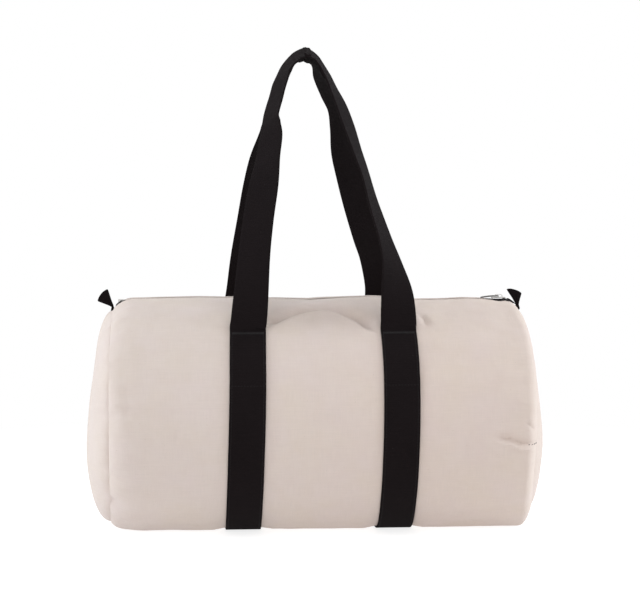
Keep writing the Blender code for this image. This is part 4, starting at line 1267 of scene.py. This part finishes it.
def lip_stitching(word, face, part, side, sizes):
    """The stitches that hold the tape under the folded lip of the mouth."""
    places = np.linspace(-STRAP_OFFSET, STRAP_OFFSET, 80)
    if side:
        places = side * np.linspace(STRAP_OFFSET, PANEL_END - 0.0010, 70)
    rows = []
    for arc in HEM_LINES:
        angle = face * (LIP_ANGLE + arc / BARREL_RADIUS)
        pushed = swell(places, angle, sizes.pucker_depth)
        sink = LIP_SINK * float(1 - eased(arc / LIP_SINK_REACH)) - sizes.hem_lift / 2
        rows.append((on_canvas(places, angle, sink - HEM_STITCH_LIFT, pushed), facing_out(angle)))
    length = sizes.stitch_length * LIP_STITCH_LENGTH_SHARE
    size = (length, sizes.thread_width, sizes.thread_width * THREAD_FLATNESS)
    pitch = sizes.stitch_length * LIP_STITCH_SHARE
    piece = stitched(f"{word}_{part}_lip_stitches", rows, "pale_thread", pitch, size)
    if side:
        zip_blend(piece)
    else:
        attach(piece, f"{word}_mouth")


def plate_ring(shrink, level):
    """A ring of a slider plate, wide at its leading end and waisted behind."""
    length, front, back = (reach - shrink for reach in PLATE_SIZES)
    ahead, beside = squared_off(round_turns(40), PLATE_CORNERS)
    share = (1 + ahead) / 2
    width = back + (front - back) * eased(share) - PLATE_WAIST * np.sin(math.pi * share)
    x = SLIDER_MIDDLE + ahead * length
    return np.stack([x, beside * width, np.full_like(x, COIL_HEIGHT + level)], axis=1)


def post_ring(grow, level):
    """A ring of the post between the slider's plates."""
    ahead, beside = squared_off(round_turns(40), POST_CORNERS)
    length, width = (reach + grow for reach in POST_SIZES)
    x = SLIDER_POST + length * ahead
    return np.stack([x, width * beside, np.full_like(x, COIL_HEIGHT + level)], axis=1)


def slider_plates():
    """The slider: two rounded plates joined by its post."""
    rings = [plate_ring(*ring) for ring in LOWER_PLATE]
    rings += [post_ring(*ring) for ring in POST]
    rings += [plate_ring(*ring) for ring in UPPER_PLATE]
    piece = new_piece("slider_plates", *ring_skin(rings), "nickel")
    fitted(piece, "nickel", "slider_body", body="slider")


def slider_arch():
    """The arch on the slider that holds its pull."""
    path = np.array(ARCH_PATH)
    path = np.concatenate([path, path[-2::-1] * (-1, 1)])
    ahead = unit(np.gradient(path, axis=0))
    side, lift = np.array(ARCH_SECTION).T
    x = SLIDER_MIDDLE + path[:, :1] - ahead[:, 1:] * lift
    z = SLIDER_TOP + path[:, 1:] + ahead[:, :1] * lift
    rings = np.stack([x, np.broadcast_to(side, x.shape), z], axis=-1)
    piece = new_piece("slider_arch", *ring_skin(rings), "nickel")
    fitted(piece, "nickel", "slider_bridge", body="slider")


def pull_loop(sizes):
    """The wire loop that the slider is pulled by, bowed up over the cloth."""
    half, end = PULL_WIDTH / 2, PULL_LENGTH - PULL_WIDTH / 2
    corner = PULL_CORNER
    near = np.linspace(0.4, math.pi / 2, 4)
    far = np.linspace(0.25, math.pi - 0.25, 11)
    straight = np.linspace(2 * corner, end, 14)
    x = np.concatenate([np.zeros(5), corner * (np.cos(near) - 1), -straight, -end - half * np.sin(far),
                        -straight[::-1], corner * (np.cos(near[::-1]) - 1)])
    y = np.concatenate([
        np.linspace(corner - half, half - corner, 5), half - corner * (1 - np.sin(near)), np.full(14, half),
        half * np.cos(far), np.full(14, -half), corner * (1 - np.sin(near[::-1])) - half,
    ])
    share = np.clip(-x / PULL_LENGTH, 0, 1)
    bow = sizes.pull_bow * np.sin(math.pi * share**0.8) ** 0.9
    centres = np.stack([SLIDER_MIDDLE + x, y, PULL_HEIGHT + bow - PULL_DROP * share], axis=1)
    ahead = unit(np.roll(centres, -1, axis=0) - np.roll(centres, 1, axis=0))
    side = unit(np.cross(ahead, Z_WAY))
    up = np.cross(side, ahead)
    turns = round_turns(12)[:, None]
    rings = [c + WIRE_RADIUS * (np.cos(turns) * s + np.sin(turns) * u) for c, s, u in zip(centres, side, up)]
    piece = new_piece("pull_loop", *ring_skin(rings, closed=True), "wire")
    fitted(piece, "dark_wire", "wire_pull", body="pull")


# Tabs


def end_tab(word, side, length, lean, tilt):
    """A fan of folded webbing, gathered at its neck and ribbed in arcs along its tilted wide end."""
    base = on_canvas(side * HALF_LENGTH, 0.0, TAB_SINK, 0.0) + side * TAB_OUT * X_WAY
    steps = np.linspace(0, 1, 75)
    grown, changed = (np.interp(steps, TAB_SHARES[0], shares) for shares in TAB_SHARES[1:])
    turns = round_turns(48)
    cu, su = squared_off(turns, TAB_CORNERS)
    upward = np.array([side * math.sin(lean), 0, math.cos(lean)])
    rings = []
    for along, wide, deep in zip(steps, grown, changed):
        reach = along * (length + TAB_NECK)
        turned = lean + (tilt - lean) * min(2 * along, 1)
        wide_way = np.array([math.cos(turned), 0, -side * math.sin(turned)])
        half, thick = np.interp(wide, (0, 1), TAB_WIDTHS) / 2, np.interp(deep, (0, 1), TAB_THICKNESSES) / 2
        ribbed = TAB_RIB_SHARE * float(eased((along - 0.45) / 0.2))
        rib = 1 + ribbed * math.cos(math.tau * reach / TAB_RIB)
        crease = 1 - TAB_CREASE * (1 - abs(2 * along - 0.9)) * np.exp(-((cu / 0.22) ** 2)) * (along < 0.9)
        arc = TAB_BOW * float(eased(along * 1.6 - 0.5)) * cu**2
        middle = base + upward * max(reach - TAB_NECK, 0.0) + min(reach, TAB_NECK) * Z_WAY
        ring = middle + (cu * half)[:, None] * wide_way + arc[:, None] * upward
        rings.append(ring + (su * thick * rib * crease)[:, None] * Y_WAY)
    points, faces = ring_skin(rings)
    flat = np.stack(np.broadcast_arrays(turns * TAB_FLAT_WIDTH, (steps * length)[:, None]), axis=-1)
    piece = new_piece(f"{word}_tab_webbing", points, faces, "webbing", flat)
    fitted(piece, "webbing", f"{word}_end_tab", body="shell")


def zip_end_patch(word, side):
    """The patch of webbing over an end of the zip."""
    arc = np.linspace(-PATCH_REACH, PATCH_REACH, 31)[:, None]
    x, arc = np.broadcast_arrays(side * (HALF_LENGTH - np.linspace(*PATCH_EDGES, 17)), arc)
    angle = arc / BARREL_RADIUS
    thinning, length = PATCH_ROUND
    from_edge = np.clip(1 - (PATCH_REACH - np.abs(arc)) / length, 0, 0.97)
    edge = thinning * (1 - np.sqrt(1 - from_edge**2))
    height, pitch = PATCH_RIB
    rib = height * np.cos(arc * math.tau / pitch)
    pushed = np.minimum(top_line(x), 0.0) * 0.6
    over, under = PATCH_LIFTS
    outer = on_canvas(x, angle, edge - over - rib, pushed)
    inner = on_canvas(x, angle, -under, pushed)
    piece = sheet_piece(f"{word}_zip_end_patch", outer, inner, "webbing", x, arc)
    fitted(piece, "webbing", f"{word}_zip_end_cover", body="shell")


def tuck_shadow_stitches(sizes):
    """A few dark stitches laid along the tuck at the right end seam, where they stand for the painted shadow
    of its crease.
    """
    x, degrees = np.array(TUCK_SHADOW_PLACES).T
    angle = np.radians(degrees)
    line = on_canvas(x, angle, -TUCK_SHADOW_LIFT, swell(x, angle, sizes.pucker_depth))
    row = (line, facing_out(angle[0]))
    slant = math.radians(TUCK_SHADOW_SLANT)
    # Black thread here is painted shadow: it darkens the crease of the tuck, and no seam was mended.
    piece = stitched("right_tuck_shadow_stitches", [row], "thread", TUCK_SHADOW_PITCH, TUCK_SHADOW_STITCH, slant)
    fitted(piece, "thread", body="shell")


# Stage


def floor_finish(colour, glow, bright):
    """A pale floor that glows a little, keeps a soft shadow and runs out to plain white."""
    made = bpy.data.materials.new("pale_floor")
    made.use_nodes = True
    tree = made.node_tree
    tree.nodes.clear()
    matt = node(tree, "ShaderNodeBsdfDiffuse", {"Color": tuple(colour) + (1.0,)})
    seen = node(tree, "ShaderNodeLightPath").outputs["Is Camera Ray"]
    shine = node(tree, "ShaderNodeEmission", {"Strength": step(tree, "MULTIPLY_ADD", seen, bright, glow)})
    both = node(tree, "ShaderNodeAddShader", {0: matt, 1: shine})
    white = node(tree, "ShaderNodeEmission", {"Strength": 1.0})
    place = node(tree, "ShaderNodeTexCoord").outputs["Object"]
    away = node(tree, "ShaderNodeVectorMath", {0: place}, operation="LENGTH").outputs["Value"]
    out = node(tree, "ShaderNodeMixShader", {0: ramped(tree, away, *FLOOR_FADE), 1: both, 2: white})
    node(tree, "ShaderNodeOutputMaterial", {0: out})
    return made


def make_world(level):
    """Even light from all round, with plain white behind the bag and in what mirrors it."""
    world = bpy.data.worlds.new("pale_surroundings")
    bpy.context.scene.world = world
    world.use_nodes = True
    tree = world.node_tree
    path = node(tree, "ShaderNodeLightPath").outputs
    seen = step(tree, "MAXIMUM", path["Is Camera Ray"], path["Is Glossy Ray"])
    seen = step(tree, "MAXIMUM", seen, path["Is Transmission Ray"])
    strength = step(tree, "MULTIPLY_ADD", seen, 1.0 - level, level)
    fill(tree, tree.nodes["Background"], {"Color": (1.0, 1.0, 1.0, 1.0), "Strength": strength})


def area_lamp(name, place, power, width, tint=(1.0, 1.0, 1.0)):
    """A soft lamp facing the bag."""
    lamp = bpy.data.lights.new(name, "AREA")
    lamp.shape = "RECTANGLE"
    lamp.size, lamp.size_y = width, LAMP_HEIGHT
    lamp.energy = power
    lamp.color = tint
    made = shown(name, lamp)
    made.location = place
    made.rotation_euler = (Vector(LAMP_TARGET) - Vector(place)).to_track_quat("-Z", "Y").to_euler()


def make_stage(sizes):
    """The floor, the light and the camera."""
    half = FLOOR_HALF
    mesh = bpy.data.meshes.new("floor")
    points = [(-half, -half, 0), (half, -half, 0), (half, half, 0), (-half, half, 0)]
    mesh.from_pydata(points, [], [(0, 1, 2, 3)])
    mesh.materials.append(floor_finish(sizes.floor_colour, sizes.floor_glow, sizes.floor_bright))
    shown("floor", mesh)
    make_world(sizes.ambient)
    area_lamp("front_lamp", FRONT_LAMP, sizes.front_power, FRONT_LAMP_WIDTH)
    for word, side in SIDES:
        place = (side * SIDE_LAMP[0], *SIDE_LAMP[1:])
        power = sizes.side_power * (RIGHT_LAMP_SHARE if side > 0 else 1.0)
        area_lamp(f"{word}_lamp", place, power, SIDE_LAMP_WIDTH, COOL_LIGHT)
    camera = bpy.data.cameras.new("camera")
    camera.lens = sizes.lens
    camera.sensor_width = 36.0
    camera.clip_end = 60.0
    holder = shown("camera", camera)
    azimuth, fall = math.radians(sizes.azimuth), math.radians(sizes.elevation)
    level = math.cos(fall)
    ahead = Vector((-math.sin(azimuth) * level, math.cos(azimuth) * level, -math.sin(fall)))
    holder.location = Vector(sizes.target) - ahead * sizes.distance
    holder.rotation_euler = ahead.to_track_quat("-Z", "Y").to_euler()
    bpy.context.scene.camera = holder
    bpy.context.scene.view_settings.view_transform = "Standard"


# Add-on


def amount(label, about, value, **settings):
    """A number property."""
    return FloatProperty(name=label, description=about, default=value, **settings)


def size(label, about, value):
    """A length property."""
    return amount(label, about, value, min=0.0, unit="LENGTH", precision=5)


def turned_by(label, about, degrees):
    """An angle property."""
    return amount(label, about, math.radians(degrees), subtype="ANGLE")


def colour(label, about, value):
    """A colour property."""
    settings = {"min": 0.0, "max": 1.0, "subtype": "COLOR", "size": 3}
    return FloatVectorProperty(name=label, description=about, default=value, **settings)


class HoldallSizes(bpy.types.PropertyGroup):
    """Sizes of the detail that is added to the plain model."""

    thread_pitch: size("Canvas thread", "Distance between threads of the canvas", 0.00062)
    twill_pitch: size("Webbing cord", "Distance between cords of the webbing", 0.0012)
    rib_pitch: size("Webbing rib pitch", "Distance between the cross ribs of the webbing", 0.0020)
    rib_height: size("Webbing rib height", "Height of the webbing's cross ribs", 0.00010)
    pucker_depth: size("Seam gathers", "Depth of the gathers beside the end seams", 0.0038)
    hem_lift: size("Hem", "Extra thickness of the folded lip at the zip", 0.0005)
    left_bulge: size("Left end bulge", "How far the left end is stuffed out at its top", 0.0207)
    right_bulge: size("Right end bulge", "How far the right end is stuffed out at its top", 0.0139)
    loop_bend_length: size("Handle bend", "Length of webbing that bends where a handle starts", 0.014)
    stitch_length: size("Stitch", "Length of one stitch", 0.0026)
    thread_width: size("Thread", "Width of the sewing thread", 0.00045)
    edge_margin: size("Stitch margin", "Distance of the stitch line from the webbing's edge", 0.0025)
    coil_pitch: size("Tooth pitch", "Distance between the zip's teeth", 0.0014)
    filament: size("Filament", "Thickness of the zip's coil filament", 0.0007)
    pull_bow: size("Pull bow", "How high the wire pull bows over the cloth", 0.0005)
    left_tab_length: size("Left tab", "Length of the left end tab's fan", 0.0180)
    right_tab_length: size("Right tab", "Length of the right end tab's fan", 0.0170)
    left_tab_lean: turned_by("Left tab lean", "How far the left tab leans outwards", 41.7)
    right_tab_lean: turned_by("Right tab lean", "How far the right tab leans outwards", -14)
    left_tab_tilt: turned_by("Left tab tilt", "How far the left tab's wide end is tilted", 49.4)
    right_tab_tilt: turned_by("Right tab tilt", "How far the right tab's wide end is tilted", 14)


class HoldallColours(bpy.types.PropertyGroup):
    """Colours of the materials."""

    canvas: colour("Canvas", "Unbleached canvas", (0.675, 0.593, 0.549))
    webbing: colour("Webbing", "Black cotton webbing", (0.0075, 0.0052, 0.0056))
    nylon: colour("Zip teeth", "Black nylon", (0.010, 0.009, 0.009))
    nickel: colour("Slider", "Nickel plate", (0.74, 0.72, 0.70))
    wire: colour("Pull", "Dark plated wire", (0.16, 0.15, 0.145))


class HoldallStage(bpy.types.PropertyGroup):
    """The camera, the light and the floor."""

    target: FloatVectorProperty(
        name="Target", description="Point at the picture's centre", default=(0.00529, 0.0, 0.24605),
        subtype="TRANSLATION", unit="LENGTH", size=3, precision=5,
    )
    distance: size("Distance", "Camera to target", 2.2)
    azimuth: amount("Azimuth", "Camera's turn round the bag, in degrees", -4.588)
    elevation: amount("Elevation", "Camera's height angle, in degrees", 3.0)
    lens: amount("Lens", "Focal length", 113.13, unit="CAMERA")
    ambient: amount("Ambient", "Strength of the even light", 0.93)
    front_power: amount("Front lamp", "Power of the front lamp", 0.4, unit="POWER")
    side_power: amount("Side lamps", "Power of each side lamp", 22.0, unit="POWER")
    floor_colour: colour("Floor", "Colour of the floor", (0.42, 0.42, 0.42))
    floor_glow: amount("Floor glow", "Light that the floor gives", 0.60)
    floor_bright: amount("Floor brightness", "Added to the floor as seen", 0.20)


class HOLDALL_OT_finishes(bpy.types.Operator):
    """Make the materials, and the trees for what repeats"""

    bl_idname = "holdall.finishes"
    bl_label = "Materials"

    def execute(self, context):
        FINISHES.update(make_finishes(context.scene.holdall_sizes, context.scene.holdall_colours))
        TREES.update(stitch=stitch_tree(), coil=coil_tree())
        return {"FINISHED"}


class HOLDALL_OT_body(bpy.types.Operator):
    """Make the six pieces of the body's canvas"""

    bl_idname = "holdall.body"
    bl_label = "Body canvas"

    def execute(self, context):
        for word, face in FACES:
            for part, side in PARTS:
                body_cloth(word, face, part, side, context.scene.holdall_sizes)
        return {"FINISHED"}


class HOLDALL_OT_ends(bpy.types.Operator):
    """Make the round ends and the bindings inside their seams"""

    bl_idname = "holdall.ends"
    bl_label = "Round ends"

    def execute(self, context):
        for word, side in SIDES:
            end_panel(word, side, context.scene.holdall_sizes)
            seam_binding(word, side)
        return {"FINISHED"}


class HOLDALL_OT_straps(bpy.types.Operator):
    """Make the straps round the body"""

    bl_idname = "holdall.straps"
    bl_label = "Straps"

    def execute(self, context):
        for word, side in SIDES:
            strap_band(word, side, context.scene.holdall_sizes)
        return {"FINISHED"}


class HOLDALL_OT_handles(bpy.types.Operator):
    """Make the two carrying loops"""

    bl_idname = "holdall.handles"
    bl_label = "Handles"

    def execute(self, context):
        for word, face in FACES:
            handle(word, face, context.scene.holdall_sizes)
        return {"FINISHED"}


class HOLDALL_OT_stitching(bpy.types.Operator):
    """Make the stitches of the straps, the tacks and the mouth"""

    bl_idname = "holdall.stitching"
    bl_label = "Stitching"

    def execute(self, context):
        sizes = context.scene.holdall_sizes
        for word, side in SIDES:
            strap_stitching(word, side, sizes)
            for face_word, face in FACES:
                bar_tack(face_word, face, word, side)
        for word, face in FACES:
            for part, side in PARTS:
                lip_stitching(word, face, part, side, sizes)
        # dark stitches that stand for the painted shadow of the tuck at the right end seam
        tuck_shadow_stitches(sizes)
        return {"FINISHED"}


class HOLDALL_OT_zip(bpy.types.Operator):
    """Make the zip's tapes and teeth, its slider and its pull"""

    bl_idname = "holdall.zip"
    bl_label = "Zip"

    def execute(self, context):
        sizes = context.scene.holdall_sizes
        for word, face in FACES:
            for half, side in SIDES:
                zip_tape(word, face, half, side)
                zip_teeth(word, face, half, side, sizes)
        slider_plates()
        slider_arch()
        pull_loop(sizes)
        for stop in ("bottom_stop", "front_top_stop", "rear_top_stop"):
            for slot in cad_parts[stop].material_slots:
                slot.material = FINISHES["nickel"]
        return {"FINISHED"}


class HOLDALL_OT_tabs(bpy.types.Operator):
    """Make the fans of webbing and the patches at the ends of the zip"""

    bl_idname = "holdall.tabs"
    bl_label = "End tabs"

    def execute(self, context):
        sizes = context.scene.holdall_sizes
        end_tab("left", -1, sizes.left_tab_length, sizes.left_tab_lean, sizes.left_tab_tilt)
        end_tab("right", 1, sizes.right_tab_length, sizes.right_tab_lean, sizes.right_tab_tilt)
        for word, side in SIDES:
            zip_end_patch(word, side)
        return {"FINISHED"}


class HOLDALL_OT_stage(bpy.types.Operator):
    """Make the floor, the light and the camera"""

    bl_idname = "holdall.stage"
    bl_label = "Stage"

    def execute(self, context):
        make_stage(context.scene.holdall_stage)
        return {"FINISHED"}


class HOLDALL_PT_panel(bpy.types.Panel):
    """The holdall's steps and sizes"""

    bl_idname = "HOLDALL_PT_panel"
    bl_label = "Canvas holdall"
    bl_space_type = "VIEW_3D"
    bl_region_type = "UI"
    bl_category = "Holdall"

    def draw(self, context):
        for maker in OPERATORS:
            self.layout.operator(maker.bl_idname)
        for _, name in GROUPS:
            group = getattr(context.scene, name)
            box = self.layout.box()
            for field in group.__annotations__:
                box.prop(group, field)


GROUPS = (
    (HoldallSizes, "holdall_sizes"),
    (HoldallColours, "holdall_colours"),
    (HoldallStage, "holdall_stage"),
)
OPERATORS = (
    HOLDALL_OT_finishes,
    HOLDALL_OT_body,
    HOLDALL_OT_ends,
    HOLDALL_OT_straps,
    HOLDALL_OT_handles,
    HOLDALL_OT_stitching,
    HOLDALL_OT_zip,
    HOLDALL_OT_tabs,
    HOLDALL_OT_stage,
)


def register():
    """Adds the groups of sizes, the steps and the panel."""
    for group, name in GROUPS:
        bpy.utils.register_class(group)
        setattr(bpy.types.Scene, name, PointerProperty(type=group))
    for kind in OPERATORS + (HOLDALL_PT_panel,):
        bpy.utils.register_class(kind)


def unregister():
    """Takes them away again."""
    for kind in (HOLDALL_PT_panel,) + OPERATORS[::-1]:
        bpy.utils.unregister_class(kind)
    for group, name in GROUPS[::-1]:
        delattr(bpy.types.Scene, name)
        bpy.utils.unregister_class(group)


def main():
    """Makes the whole bag, step by step."""
    register()
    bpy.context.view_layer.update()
    for maker in OPERATORS:
        group, name = maker.bl_idname.split(".")
        getattr(getattr(bpy.ops, group), name)()


if __name__ == "__main__":
    main()
